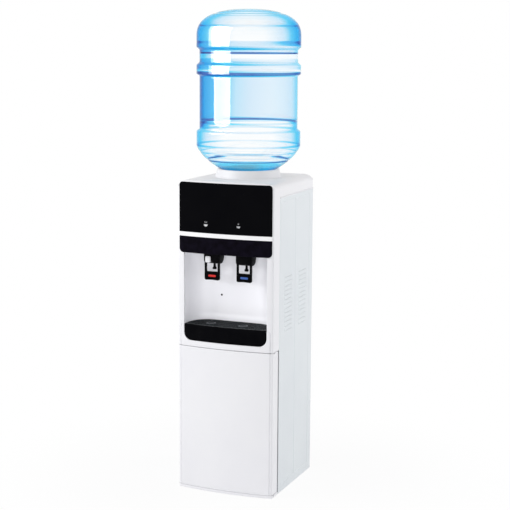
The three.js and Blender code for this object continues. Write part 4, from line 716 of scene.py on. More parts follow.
def field(x, z, top):
    """How far the skin moves forward (minus y) for the raised field, which lies within |x| < FIELD_EDGE
    and below top: raised inside, level outside, and a fine groove along its rounded border."""
    away = from_border(np.abs(x) - (FIELD_EDGE - FIELD_ROUND), z - (top - FIELD_ROUND), FIELD_ROUND)
    groove = FIELD_GROOVE * np.exp(-((away / BORDER) ** 2))
    return groove - FIELD_RAISED * (1 - smooth_step(away / BORDER))


def carried_up(path, levels, top=NO_FIELD):
    """A plan outline (n, 2) carried up to each level: rows of points (x, y + field, z)."""
    x, y = path.T
    z = np.asarray(levels, float)[:, None]
    return points(x, y + np.where(y > face_y(HALF_WIDTH) - 1, 0, field(x, z, top)), z)


print("field raised by", FIELD_RAISED, "mm")

# %% Frame round the mouth
FRAME_LOW, CAP_LOW = housing_low[2], box_of("side_panel_right")[1][2] + 0.3
TOP = housing_high[2]
tray_low, tray_high = box_of("drip_tray")
liner_low, liner_high = box_of("niche_liner")
MOUTH_HALF, MOUTH_LOW, MOUTH_TOP = tray_high[0] + 1.2, tray_low[2] - 1.0, box_of("tap_band")[0][2] + 3
MOUTH_ROUND = 23.0
FIELD_TOP = tray_high[2] - 2
# How far the rows lie inside the field's edge, outside the mouth, and (out, back) over the mouth's lip
EDGE_ROWS, MOUTH_ROWS = (0, 0.3, 0.6, 0.9, 1.4, 2.0, 3.0), (3.5, 2.2, 1.3)
LIP_ROWS = ((0.6, 0.12), (0.2, 0.4), (0.0, 0.9), (0.0, 2.0), (0.0, 12.0))

side_z = np.concatenate([np.linspace(MOUTH_TOP, 500, 22), np.linspace(497, 470, 46), [465.0]])
arc_x, arc_z = MOUTH_HALF - MOUTH_ROUND, MOUTH_LOW + MOUTH_ROUND
frame_foot = FRAME_LOW + 1.2
to_side, to_foot = FIELD_EDGE - arc_x, arc_z - frame_foot
diagonal = math.atan2(to_foot, to_side)
spoke = direction(np.pi + np.sort(np.concatenate([np.linspace(0, np.pi / 2, 15), [diagonal]])))
reach = np.minimum(to_side / np.maximum(-spoke[:, 0], 1e-9), to_foot / np.maximum(-spoke[:, 1], 1e-9))
low_x = np.linspace(-arc_x, 0, 28)[1:]


def round_mouth(half, radius, foot):
    """A line from the mouth's top down its left side, round the corner and along its foot, and mirrored."""
    corner = np.array([-arc_x, arc_z]) + radius * spoke
    left = np.vstack([points(-half, side_z), corner, points(low_x, foot)])
    return np.vstack([left, left[-2::-1] * [-1, 1]])


inner = round_mouth(MOUTH_HALF, MOUTH_ROUND, MOUTH_LOW)
outer = round_mouth(FIELD_EDGE, reach[:, None], frame_foot)
outward = (outer - inner) / np.linalg.norm(outer - inner, axis=1, keepdims=True)
frame_rows = [(outer - outward * d, 0) for d in EDGE_ROWS] + [(inner + outward * d, 0) for d in MOUTH_ROWS]
frame_rows += [(inner + outward * out, back) for out, back in LIP_ROWS]
mouth_frame = np.stack([
    points(row[:, 0], face_y(row[:, 0]) + field(*row.T, FIELD_TOP) + back, row[:, 1])
    for row, back in frame_rows
])
print("frame round the mouth:", mouth_frame.shape)

# %% Walls beside and over the mouth, and the lower edge
WRAP_BACK, LIP = -106.0, 6.0
# The turned-in lower edge as (how far in, how far up)
FOOT_ROWS = ((0.0, 1.2), (0.1, 0.6), (0.35, 0.2), (0.9, 0.0), (LIP * 2, 0.0))

around = wrapped(WRAP_BACK, LIP)
right_wall = around[np.argmin(np.hypot(*(around - [FIELD_EDGE, face_y(FIELD_EDGE)]).T)):]
wall_z = np.concatenate([
    [frame_foot], np.linspace(430, 470, 9), np.linspace(472, 497, 40), np.linspace(500, MOUTH_TOP, 14)
])
walls = [carried_up(side, wall_z, FIELD_TOP) for side in (right_wall[::-1] * [-1, 1], right_wall)]
over = carried_up(around, [*np.linspace(MOUTH_TOP, CAP_LOW - 2, 16), CAP_LOW + 0.8, CAP_LOW + 2])
behind = over[-1, :, 1] > WRAP_BACK - 1.3
over[-1, behind, :2] = points(np.sign(over[-1, behind, 0]) * HALF_WIDTH, WRAP_BACK)
foot_lip = []
for inset, rise in FOOT_ROWS:
    x, y = tucked(around, inset).T
    forward = np.where(y < face_y(HALF_WIDTH) - 1, field(around[:, 0], FRAME_LOW, FIELD_TOP), 0)
    foot_lip.append(points(x, y + forward, FRAME_LOW + rise))
print("walls:", walls[0].shape, over.shape)

# %% Outline of the top cap
REAR = housing_high[1]
REAR_ROUND, SEAM_RISE = 5.0, 2.6
EDGE_SIDE, EDGE_REAR, SIDE_DROP, REAR_DROP = 30.0, 12.0, 18.0, 8.0


def seam_rise(y):
    """The seam over the metal sides climbs a little to the rear: in a straight line from WRAP_BACK."""
    return SEAM_RISE * np.clip((y - WRAP_BACK) / (REAR - WRAP_BACK), 0, 1)


def cap_height(x, y):
    """Height of the cap at a plan point: TOP less r (1 - sqrt(1 - w^2)). w = (u^4 + v^4 + f^4)^(1/4)
    tells how far the point reaches into the rounded side, rear and front edges, and r is the drop of
    the edge it is nearest to."""
    side = np.clip(1 - (HALF_WIDTH - np.abs(x)) / EDGE_SIDE, 0, 1)
    rear = np.clip(1 - (REAR - y) / EDGE_REAR, 0, 1)
    front = np.clip(1 - (y - bow(x)) / FRONT_ROUND, 0, 1)
    weight = side**POWER + rear**POWER + front**POWER
    w = np.minimum(weight ** (1 / POWER), 1)
    drop = SIDE_DROP * side**POWER + REAR_DROP * rear**POWER + FRONT_ROUND * front**POWER
    return TOP - drop / np.maximum(weight, 1e-9) * (1 - np.sqrt(1 - w**2))


front_part = points(front_x, face_y(front_x))
side_y = np.concatenate([
    np.linspace(face_y(HALF_WIDTH), WRAP_BACK - 1.4, 10)[1:],
    np.linspace(WRAP_BACK, REAR - REAR_ROUND, 28)[:-1],
])
rear_corner = REAR_ROUND * direction(np.linspace(0, np.pi / 2, 14))
rear_corner = [HALF_WIDTH - REAR_ROUND, REAR - REAR_ROUND] + rear_corner
rear_part = points(np.linspace(HALF_WIDTH - REAR_ROUND, 0, 20)[1:], REAR)
right_half = np.vstack([points(HALF_WIDTH, side_y), rear_corner, rear_part])
cap_outline = np.vstack([front_part, right_half, right_half[-2::-1] * [-1, 1], front_part[:1]])
print("cap outline:", cap_outline.shape)

# %% Top cap
HOLE = 78.2
FROM_EDGE = (0, 0.02, 0.08, 0.2, 0.4, 0.8, 1.4, 2.2, 3.2, 4.5, 6, 8, 10.5, 13, 16, 20, 24, 28, 32, 36)
SEAM_ROWS = ((0.0, 2.0), (0.1, 1.0), (0.4, 0.35), (1.0, 0.05), (LIP, 0.0))

bottle_low, bottle_high = box_of("bottle")
AXIS_Y = (bottle_low[1] + bottle_high[1]) / 2
centre = np.array([0, AXIS_Y])
ray = cap_outline - centre
far = np.linalg.norm(ray, axis=1, keepdims=True)
ray /= far
cap_rows = [centre + ray * (far - d) for d in FROM_EDGE]
left = far - FROM_EDGE[-1] - HOLE
cap_rows += [centre + ray * (HOLE + left * share) for share in (0.8, 0.6, 0.4, 0.2, 0.05, 0.0)]
top_rows = [at(row, cap_height(*row.T)) for row in cap_rows]
hole_rows = [top_rows[-1] - [0, 0, d] for d in (0.5, 6.0)]
cap_foot = CAP_LOW + 2 + seam_rise(cap_outline[:, 1])
side_height = top_rows[0][:, 2] - cap_foot
side_rows = [at(cap_outline, cap_foot + side_height * share) for share in np.linspace(0, 1, 6)[:-1]]
cap = np.stack([*side_rows, *top_rows, *hole_rows])
seam_part = cap_outline[cap_outline[:, 1] >= WRAP_BACK - 0.01]
seam_up = seam_rise(seam_part[:, 1])
seam_lip = [at(moved_in(seam_part, inset), CAP_LOW + rise + seam_up) for inset, rise in SEAM_ROWS]
housing_skin = surface(
    "front_housing", [mouth_frame, *walls, over, foot_lip, cap, seam_lip], outward=(0, -1, 0.02)
)
place(wall(housing_skin, 2.5), "housing", "white_moulding", "white_moulding", "upper_housing")

# %% [markdown]
# ## Door
# The lower front is a hinged moulded door, hollow from behind. It carries on the raised field of the
# frame above it, down to its lower edge. Its skin is the same plan outline as the housing's, carried up
# the height, with a lip turned in at the top and the bottom; Solidify gives the wall.

# %% Door skin
DOOR_BACK = -112.5
# The turned-in lips as (how far in, how far from the door's end)
DOOR_LIP = ((0.0, 1.2), (0.1, 0.65), (0.4, 0.25), (1.1, 0.0), (12.0, 0.0))
door_around = wrapped(DOOR_BACK, 3.0)
body_rows = carried_up(door_around, np.linspace(door_low[2] + 1.2, door_high[2] - 2, 44), FULL_FIELD)
bottom_rows, top_rows = (
    np.stack([at(tucked(row[:, :2], inset), level + way * rise) for inset, rise in DOOR_LIP])
    for row, level, way in ((body_rows[0], door_low[2], 1), (body_rows[-1], door_high[2], -1))
)
top_rows[0, :, 2] = body_rows[-1, 0, 2]
door_skin = surface("door_skin", [body_rows, bottom_rows, top_rows], outward=(0, -1, 0))
place(wall(door_skin, 2.8), "door", "white_moulding", "white_moulding")

# %% [markdown]
# Behind its skin the door needs an inner panel, so that it doesn't look like an empty tray when it is
# open. It is a plate with a dished middle. Two flanges run forward from it to the lips of the skin.

# %% Door inner panel
INNER_SIDE, INNER_BACK = 3.2, -140.8
DISH, DISH_RIM, DISH_ROUND, DISH_SLOPE = 3.0, 34, 6, 5

inner_low, inner_high = door_low[[0, 2]] + INNER_SIDE, door_high[[0, 2]] - INNER_SIDE
inner_x = np.linspace(inner_low[0], inner_high[0], 90)
x, z = np.meshgrid(inner_x, np.linspace(inner_low[1], inner_high[1], 120))
beyond_z = np.abs(z - (door_low[2] + door_high[2]) / 2) - ((door_high[2] - door_low[2]) / 2 - DISH_RIM)
away = from_border(np.abs(x) - (HALF_WIDTH - DISH_RIM), beyond_z, DISH_ROUND)
panel = points(x, INNER_BACK - DISH * (1 - smooth_step(away / DISH_SLOPE)), z)
flange = panel[[0, -1]].copy()
flange[..., 1] = face_y(inner_x) + 6
panel = np.concatenate([flange[:1], panel, flange[1:]])
inner_panel = surface("door_inner_panel", [panel], outward=(0, 1, 0))
place(wall(inner_panel, 2.0), "door", "white_moulding", "white_moulding", "door")

# %% [markdown]
# Under the door a fixed skirt of the same outline hides the feet. It ends just above the floor. A thin
# sill closes its top, and the door swings over it.

# %% Base skirt
SILL_BACK = -110.0
SKIRT_LOW, SKIRT_TOP = 1.0, door_low[2] - 0.6
# Rows as (height, how far in)
SKIRT_ROWS = (
    (SKIRT_LOW, 0.6), (SKIRT_LOW + 0.3, 0.15), (SKIRT_LOW + 1, 0.0), ((SKIRT_LOW + SKIRT_TOP) / 2, 0.0),
    (SKIRT_TOP - 1, 0.0), (SKIRT_TOP - 0.3, 0.15), (SKIRT_TOP, 0.6),
)
skirt = [at(moved_in(door_around, inset), level) for level, inset in SKIRT_ROWS]
base_skirt = surface("base_skirt", [skirt], outward=(0, -1, 0))
place(wall(base_skirt, 1.5), "housing", "white_moulding", "white_moulding")

sill_x = front_x[np.abs(front_x) < HALF_WIDTH - 2]
sill = [points(sill_x, y, SKIRT_TOP - 0.1) for y in (face_y(sill_x) + 1, SILL_BACK)]
base_sill = surface("base_sill", [sill], outward=(0, 0, 1))
place(wall(base_sill, 0.8), "housing", "white_moulding", "white_moulding")

# %% [markdown]
# ## Niche
# The recess for the cup is a separate moulding with big soft corners at the back. Seen from above its
# outline is a U. That U is carried up from a rounded lower edge, and at the top and the bottom it
# shrinks to a point, which closes the ceiling and the floor. Its back steps forward a little near the
# foot. Two small lamps that light only the liner stand in for the light that a white room throws into
# such a recess.

# %% Niche outline
SWEEP_X, SWEEP_Y, SWEEP_POWER = 62.0, 66.0, 2.3
NICHE_HALF, NICHE_BACK, NICHE_FRONT = liner_high[0] - 2.5, liner_high[1] - 2.5, -148.0
NICHE_LIP, LEDGE_BACK, LEDGE_REACH = 3.2, 40, 38


def back_corner(half, back, steps=22):
    """A rear corner from the side to the back: x and y shrink as a superellipse of SWEEP_X and SWEEP_Y."""
    a = np.linspace(0, np.pi / 2, steps)
    u, v = np.cos(a) ** (2 / SWEEP_POWER), np.sin(a) ** (2 / SWEEP_POWER)
    return points(half - SWEEP_X * (1 - u), back - SWEEP_Y * (1 - v))


corner_line = back_corner(NICHE_HALF, NICHE_BACK)
side_line = points(NICHE_HALF, np.linspace(NICHE_FRONT, corner_line[0, 1], 10)[:-1])
rear_line = points(np.linspace(corner_line[-1, 0], 0, 18)[1:], NICHE_BACK)
right_line = np.vstack([side_line, corner_line, rear_line])
u_x, u_y = np.vstack([right_line * [-1, 1], right_line[-2::-1]]).T


def u_row(level, shrink=1.0, narrow=0.0, ledge=0.0):
    """The U at a level: narrow takes its sides in, ledge brings its back forward, and a shrink under 1
    pulls it towards the middle of the bowed front edge."""
    x = u_x * (1 - narrow / NICHE_HALF) * shrink
    y = u_y - ledge * smooth_step((u_y - NICHE_BACK + LEDGE_BACK) / LEDGE_REACH)
    if shrink < 1:
        y = bow(x) + NICHE_LIP + (y - (bow(u_x) + NICHE_LIP)) * shrink
    return points(x, y, level)


print(len(u_x), "points round the niche")

# %% Niche liner
LEDGE, LEDGE_Z, FLOOR_ROUND = 2.2, 500, 20.0

floor_z, ceiling_z = liner_low[2] + 2.5, liner_high[2] - 0.8
rows = [u_row(ceiling_z, shrink) for shrink in (0.0, 0.4, 0.75, 0.97)] + [u_row(ceiling_z - 0.7)]
rows += [u_row(level) for level in np.linspace(ceiling_z - 4, 512, 26)]
rows += [u_row(z, ledge=LEDGE * smooth_step((LEDGE_Z - z) / 8)) for z in np.linspace(508, 488, 12)]
for a in np.linspace(0, np.pi / 2, 10):
    level, narrow = floor_z + FLOOR_ROUND * (1 - math.sin(a)), FLOOR_ROUND * (1 - math.cos(a))
    rows.append(u_row(level, narrow=narrow, ledge=LEDGE))
rows += [u_row(floor_z, shrink, FLOOR_ROUND) for shrink in (0.9, 0.5, 0.0)]
niche_skin = surface("niche_skin", [rows], outward=(0, -1, 0))
place(wall(niche_skin, 1.6), "housing", "white_moulding", "niche_white", "niche_liner")

# %% Niche lamps
def lights_only(title, piece, *lamps):
    """Links lamps to a piece, so that they light nothing else."""
    alone = bpy.data.collections.new(title)
    alone.objects.link(piece)
    for lamp in lamps:
        lamp.light_linking.receiver_collection = alone


lights_only(
    "niche_only", niche_skin,
    soft_box("niche_box", (-0.5, -1.6, 1.05), (0, -0.1, 0.57), 0.3, 0.3, 3.4),
    soft_box("niche_side_box", (0.5, -1.3, 0.7), (0, -0.1, 0.57), 0.6, 0.6, 4.2),
)
print("two lamps light only", niche_skin.name)

# %% [markdown]
# A small dark plug sits in the back of the niche, where the back has a small hole. Its black is painted
# shade: it stands for the dark inside of that hole.

# %% Niche plug
PLUG_X, PLUG_Z, PLUG_R = -47.0, 560.0, 3.0
plug = soften([(0, -0.7), (PLUG_R - 0.6, -0.7), (PLUG_R, 0.0), (PLUG_R, 1.0), (0, 1.0)], 0.5, 4)
plug[:, 1] += NICHE_BACK - 0.2
plug_grid = turned(plug, (PLUG_X, PLUG_Z), steps=28, axis=1)
place(surface("niche_hole_shade", [plug_grid]), "housing", "black_plastic", "black_plastic")

# %% [markdown]
# ## Drip tray and grille
# The tray is a black drawer: a basin behind a front plate with round lower corners. The basin is one
# closed loop drawn at many heights, out from the middle of its floor, up outside, over the rim and
# down inside. The grille over it is a rim with slanting bars and two target rings, one under each tap.

# %% Drip tray
TRAY_HALF, TRAY_BACK, TRAY_WALL, TRAY_ROUND, TRAY_FLOOR = tray_high[0], tray_high[1], 2.5, 18.0, 4
# The rounded rim as (how far in, how far down)
TRAY_RIM = ((0, 0.9), (0.25, 0.25), (0.9, 0), (1.8, 0.1), (TRAY_WALL, 0.8))
FASCIA, FASCIA_GAP = 4.2, 0.7


def tray_loop(inset, narrow=0.0, shrink=1.0, steps=30):
    """The tray seen from above: the bowed front, straight sides and swept rear corners, moved in by inset.
    narrow takes its sides in, and shrink pulls the loop towards its middle."""
    half = TRAY_HALF - inset
    right = back_corner(half, TRAY_BACK - inset)
    side = points(half, np.linspace(bow(half) + 1 + inset, right[0, 1], 9)[1:-1])
    rear = points(np.linspace(right[-1, 0], 0, 14)[1:], TRAY_BACK - inset)
    half_loop = np.vstack([side, right, rear])
    front_line = np.linspace(-half, half, steps)
    front = points(front_line, bow(front_line) + 1 + inset)
    loop = np.vstack([front, half_loop, half_loop[-2::-1] * [-1, 1], front[:1]])
    loop[:, 0] *= 1 - narrow / half
    middle = np.array([0, (bow(0) + TRAY_BACK) / 2])
    return middle + (loop - middle) * shrink


def rounded_foot(inset, level, turns):
    """Rows of the tray's loop round its lower edge, which is a quarter circle of TRAY_ROUND from level."""
    corner = [(TRAY_ROUND * (1 - math.sin(a)), level + TRAY_ROUND * (1 - math.cos(a))) for a in turns]
    return [at(tray_loop(inset, narrow), height) for narrow, height in corner]


low_z, rim_z = tray_low[2], tray_high[2]
turns = np.linspace(0, np.pi / 2, 9)
rows = [at(tray_loop(0, TRAY_ROUND, shrink), low_z) for shrink in (0.0, 0.5, 0.95)]
rows += rounded_foot(0, low_z, turns)
rows += [at(tray_loop(inset), rim_z - drop) for inset, drop in (*TRAY_RIM, (TRAY_WALL, 4))]
rows += rounded_foot(TRAY_WALL, low_z + TRAY_FLOOR, turns[::-1])
rows += [at(tray_loop(TRAY_WALL, TRAY_ROUND, shrink), low_z + TRAY_FLOOR) for shrink in (0.95, 0.5, 0.0)]
fascia_low = (-MOUTH_HALF + FASCIA_GAP, MOUTH_LOW + FASCIA_GAP)
fascia_high = (MOUTH_HALF - FASCIA_GAP, rim_z - 0.3)
fascia = plate(fascia_low, fascia_high, (22.5, 1.2), bow, FASCIA, 0.9, across=44, up=10)
tray_body = surface("drip_tray_body", [rows, fascia])
place(tray_body, "drip_tray", "black_plastic", "tray_black", "drip_tray")

# %% Bars across the grille
RIM, START = 5.0, TRAY_WALL + 0.4
BAR_SECTION = ((-0.5, 1), (-0.3, 0), (0.3, 0), (0.5, 1), (0.5, 3), (-0.5, 3), (-0.5, 1))

clip = tray_loop(START + RIM - 0.6)[:-1]


def chords(angle, pitch):
    """Ends of the parallel lines that cross the grille's opening, turned by angle and pitch apart. A line
    meets the opening where an edge from P to Q has its ends on different sides of the line."""
    along = np.array([math.cos(angle), math.sin(angle)])
    across = np.array([-along[1], along[0]])
    start, end = clip, np.roll(clip, -1, 0)
    side = clip @ across
    found = []
    for offset in np.arange(side.min() + pitch / 2, side.max(), pitch):
        a, b = start @ across - offset, end @ across - offset
        cross = (a < 0) != (b < 0)
        share = a[cross] / (a[cross] - b[cross])
        hits = np.sort((start[cross] + share[:, None] * (end[cross] - start[cross])) @ along)
        if len(hits) >= 2 and hits[-1] - hits[0] > pitch:
            found.append(np.stack([along * hit + across * offset for hit in (hits[0], hits[-1])]))
    return np.array(found), across


def bars(angle, pitch, width, top, depth):
    """A bar on each chord: its section is a small bevelled box, drawn at both ends and closed there."""
    ends, across = chords(angle, pitch)
    section = np.array(BAR_SECTION) * [width, depth / 3]
    grids = []
    for pair in ends:
        first, last = (at(end + section[:, :1] * across, top - section[:, 1]) for end in pair)
        closed = [np.repeat(loop.mean(0)[None], len(section), 0) for loop in (first, last)]
        grids.append(np.stack([closed[0], first, last, closed[1]]))
    return grids


print("first bar:", chords(0.0, 8.0)[0][0].round(1).tolist())

# %% Drip grille
BAR_WIDTH, BAR_PITCH, BAR_TURN = 2.8, 7.6, math.radians(-33)
CROSS_WIDTH, CROSS_PITCH = 1.8, 26.0
RIM_BAND = ((0, 0.4), (0.4, 0), (RIM - 0.5, 0), (RIM, 0.5), (RIM, 2.1), (0.2, 2.1), (0, 0.4))

grille_top = box_of("drip_grille")[1][2]
grille_grids = [
    [at(tray_loop(START + inset), grille_top - drop) for inset, drop in RIM_BAND],
    *bars(BAR_TURN, BAR_PITCH, BAR_WIDTH, grille_top - 0.25, 1.8),
    *bars(BAR_TURN + math.pi / 2, CROSS_PITCH, CROSS_WIDTH, grille_top - 0.9, 1.2),
]
grille = surface("grille_lattice", grille_grids)
place(grille, "drip_grille", "slate_plastic", "slate_plastic", "drip_grille")

# %% [markdown]
# Two raised rings on the grille show where a cup goes. Each stands round a dark round plate.

# %% Cup rings
RINGS, RING_R, RING_BAND = ((-57.0, -122.0), (42.0, -122.0)), 13.5, 3.4
RING_IN = RING_R - RING_BAND
band = soften([(RING_IN, 0.9), (RING_R, 0.9), (RING_R, -2.0), (RING_IN, -2.0)], 0.5, 3, loop=True)
disc = [(0, 0.1), (RING_IN - 0.3, 0.1), (RING_IN, -1.6), (0, -1.6)]
for name, profile, look in (("cup_rings", band, "ring_grey"), ("cup_plates", disc, "tray_black")):
    grids = [turned(np.array(profile) + [0, grille_top], stand, 48) for stand in RINGS]
    place(surface(name, grids), "drip_grille", "slate_plastic", look)

# %% [markdown]
# ## Water bottle
# The bottle is one blown shell turned upside down: its domed base is at the top, its ribs stop the
# wall from buckling, and its shoulder narrows to the neck. A profile carried round the axis gives both
# faces of the thin wall. Every point also stores how strongly the blue shows there, and the material
# reads that number. The blue is deeper at the ledges, where blown plastic gathers and where dark lines
# that stand for refraction at the turning wall are painted shade. It is paler on the dome and the
# shoulder, which is painted reflection.

# %% Bottle profile
BOTTLE_R = bottle_high[0]
BARREL_R = BOTTLE_R - 8.6
BASE = bottle_high[2]
NECK_R, SEAT_R = 27.5, 83.2
DOME, DOME_POWER, SHOULDER = 77.0, 2.5, 68.0
# The wall from the dome down to the shoulder, as (radius at the top, radius at the foot, height)
BANDS = (
    (BOTTLE_R, BOTTLE_R, 26.0), (BOTTLE_R, BARREL_R, 15.0), (BARREL_R, BARREL_R, 27.0),
    (BARREL_R, BOTTLE_R, 15.0), (BOTTLE_R, BOTTLE_R, 19.0), (BOTTLE_R, BARREL_R, 11.0),
    (BARREL_R, BARREL_R, 143.0), (BARREL_R, BOTTLE_R, 13.0), (BOTTLE_R, BOTTLE_R, 36.0),
)


def curve_down(wide, narrow, top, drop, power, steps):
    """From radius wide down to narrow over drop: (r / wide)^power + (d / reach)^power = 1, where reach
    is the drop at which the radius would be nothing."""
    reach = drop / (1 - (narrow / wide) ** power) ** (1 / power)
    a = np.linspace(0, 1, steps) ** 0.8
    r = narrow + (wide - narrow) * np.sqrt(1 - a**2)
    r[-1] = narrow
    d = reach * (1 - (r / wide) ** power) ** (1 / power)
    return points(r, top - d)


def ledge(r_from, r_to, top, height):
    """A ledge between two radii: the radius changes along an S in the middle 72% of the height."""
    t = np.linspace(0, 1, 15 if r_from != r_to else 7)
    s = smooth_step(np.clip((t - 0.5) / 0.36, -1, 1))
    return points(r_from + (r_to - r_from) * s, top - height * t)


def bell(value, middle, width):
    """A bell curve: 1 where value is middle, and near 0 from twice the width away."""
    return np.exp(-(((value - middle) / width) ** 2))


a = np.linspace(0, np.pi / 2, 40)
across, down = np.sin(a) ** (2 / DOME_POWER), np.cos(a) ** (2 / DOME_POWER)
dome = points(BOTTLE_R * across, BASE - DOME + DOME * down)
dome[:, 1] -= 1.6 * bell(dome[:, 0], 96, 5)
band_feet = BASE - DOME - np.cumsum(np.array(BANDS)[:, 2])
top_foot, groove_top, mid_top, mid_foot, barrel_foot, low_top, level = band_feet[[0, 1, 3, 4, 6, 7, 8]]
pieces, start = [dome], BASE - DOME
for r_from, r_to, height in BANDS:
    pieces.append(ledge(r_from, r_to, start, height)[1:])
    start -= height
shoulder = curve_down(BOTTLE_R, SEAT_R, level, SHOULDER, 1.5, 40)
for ridge, depth in ((20.0, 1.2), (43.0, 1.8)):
    shoulder[:, 0] -= depth * bell(level - shoulder[:, 1], ridge, 2.4)
seat = level - SHOULDER
throat = soften([(SEAT_R, seat), (NECK_R + 8, seat - 36), (NECK_R, bottle_low[2] + 24)], 12, 9)
pieces += [shoulder[1:], throat[1:], [(NECK_R, bottle_low[2] + 10.0), (NECK_R, bottle_low[2])]]
outline = np.vstack(pieces)
print(len(outline), "points, from", outline[0].round(1), "to", outline[-1].round(1))

# %% Colour depth along the wall
# Pairs of (height, depth): how blue the wall is at that height, with a straight blend between them.
# The high values at the ledges paint dark lines: partly plastic gathered there, partly painted shade for
# the dark edges that refraction shows. The low values on the dome and the shoulder are painted reflection.
DEPTHS = np.array([
    (BASE + 1, -0.1), (BASE - 4, -0.4), (BASE - 30, -0.3), (BASE - 44, -0.1), (BASE - 46.5, 0.22),
    (BASE - 49, -0.06), (top_foot + 15, -0.06), (top_foot + 12, 0.2), (top_foot + 1, 0.24),
    (top_foot - 3, 0.2), (groove_top, 0.24), (groove_top - 3, 0.26), (groove_top - 4, 1.1),
    (groove_top - 6.5, 1.1), (groove_top - 7.5, -0.05), (groove_top - 19, -0.1), (groove_top - 23, 0.16),
    (mid_top, 0.2), (mid_foot + 11, 0.22), (mid_foot + 9.5, -0.1), (mid_foot + 5, -0.1),
    (mid_foot + 4, 0.3), (mid_foot + 3, 1.1), (mid_foot - 3.5, 1.05), (mid_foot - 6, 0.26),
    (barrel_foot + 25, 0.24), (barrel_foot + 20, 0.45), (barrel_foot + 19, 1.1), (barrel_foot + 14, 1.1),
    (barrel_foot + 12, 0.2), (barrel_foot + 6, -0.05), (low_top, -0.1), (level + 4, -0.12),
    (level + 2, 0.25), (level - 1, 0.25), (level - 4, -0.25), (level - 18, -0.35), (level - 20, 0.1),
    (level - 22, -0.35), (level - 30, -0.35), (level - 32, 0.0), (level - 34, -0.4), (level - 41, -0.35),
    (level - 42, 0.7), (level - 45, 0.6), (level - 46, -0.4), (level - 58, -0.4), (level - 63, 0.12),
    (level - 67, 0.2), (0, 0.2),
])[::-1]
knots = DEPTHS[(DEPTHS[:, 0] < BASE - 20) & (DEPTHS[:, 0] > level - SHOULDER), 0]
heights = np.unique(np.concatenate([outline[:, 1], knots]))[::-1]
outline = points(np.interp(heights, outline[::-1, 1], outline[::-1, 0]), heights)
depth = np.interp(heights, *DEPTHS.T)
print(len(outline), "points with a colour depth")

# %% Both faces of the wall
BOTTLE_WALL, BOTTLE_STEPS = 1.4, 144

along = np.gradient(outline, axis=0)
along /= np.linalg.norm(along, axis=1, keepdims=True)
inner_outline = outline + BOTTLE_WALL * points(along[:, 1], -along[:, 0])
inner_outline[0] = [0, outline[0, 1] - BOTTLE_WALL]
inner_outline[:, 0] = np.maximum(inner_outline[:, 0], 0)
inner_outline[-1, 1] = outline[-1, 1]
closed = np.vstack([outline, inner_outline[::-1]])
shell_grid = turned(closed, (0, AXIS_Y), BOTTLE_STEPS)
print("shell grid:", shell_grid.shape)

# %% [markdown]
# The blue also changes round the axis, and this is painted light that fits one view. The barrel is
# paler towards one side as a painted reflection, and the dome and the barrel's foot are deeper blue at two
# sides. The dark line at the ring is kept on the near half only and the one at the foot on the far half
# only, as painted shade.

# %% Colour depth round the bottle
# The turn round the axis of the side that is painted pale, a painted reflection of the lamps.
PAINTED_PALE_SIDE = math.radians(23)


def between(low, high, blend):
    """1 at heights between low and high, with a straight blend to 0 below low and above high."""
    return np.clip((closed[:, 1:] - low) / blend, 0, 1) * np.clip((high - closed[:, 1:]) / blend, 0, 1)


round_angle = np.linspace(0, 2 * np.pi, BOTTLE_STEPS + 1)[None]
painted_pale_lean, near = np.cos(round_angle - PAINTED_PALE_SIDE), np.cos(round_angle - PAINTED_PALE_SIDE + np.pi / 2)
in_barrel = between(barrel_foot - 2, top_foot + 2, 4)
in_dome = np.clip((closed[:, 1:] - top_foot - 4) / 4, 0, 1)
in_ring_line = between(mid_foot - 7, mid_foot + 6, 2)
in_foot_side = between(barrel_foot - 1, barrel_foot + 14, 2)
in_foot_line = between(barrel_foot + 11, barrel_foot + 22, 2)
# Painted light round the axis: a pale side, deeper blue at two sides, and dark lines kept on one half.
shell_depth = (
    np.concatenate([depth, depth[::-1]])[:, None]
    + in_barrel * (-0.28 * painted_pale_lean - 0.26 * painted_pale_lean**2)
    + in_dome * 0.25 * painted_pale_lean**2
    + (1 - in_barrel - in_dome) * 0.02 * painted_pale_lean**2
    - in_foot_line * 0.7 * np.clip(near * 3 + 0.5, 0, 1)
    - in_ring_line * 0.7 * np.clip(0.5 - near * 3, 0, 1)
    + in_foot_side * 0.5 * np.clip(np.abs(painted_pale_lean) * 5 - 3.8, 0, 1)
)
on_outside = np.repeat((np.arange(len(closed)) < len(outline))[:, None], BOTTLE_STEPS + 1, 1)
bottle_shell = surface(
    "bottle_shell", [shell_grid], smooth=80, colour_depth=[shell_depth], outer_face=[on_outside]
)
place(bottle_shell, "bottle", "bottle_clear", "bottle_clear", "bottle")
bottle_shell.visible_diffuse = bottle_shell.visible_shadow = False

# %% [markdown]
# A studio bottle gets its shape from what it mirrors. One more soft box stands where the bottle shows it
# as an upright white strip. It is linked to the bottle alone, because so much light would bleach
# everything else. The bottle lets the other lamps' light through: it casts no shadow on the white parts.

# %% Soft box for the bottle
strip_box = soft_box("strip_box", (-1.53, -1.72, 1.85), (0, 0, 1.2), 2.05, 2.0, 95)
lights_only("bottle_only", bottle_shell, strip_box)

# %% [markdown]
# ## Collar and cap
# The bottle stands in a white collar with a slightly sloping wall, and its neck is closed by a cap.
# Both are turned parts: a profile with softened corners carried round the bottle's axis.

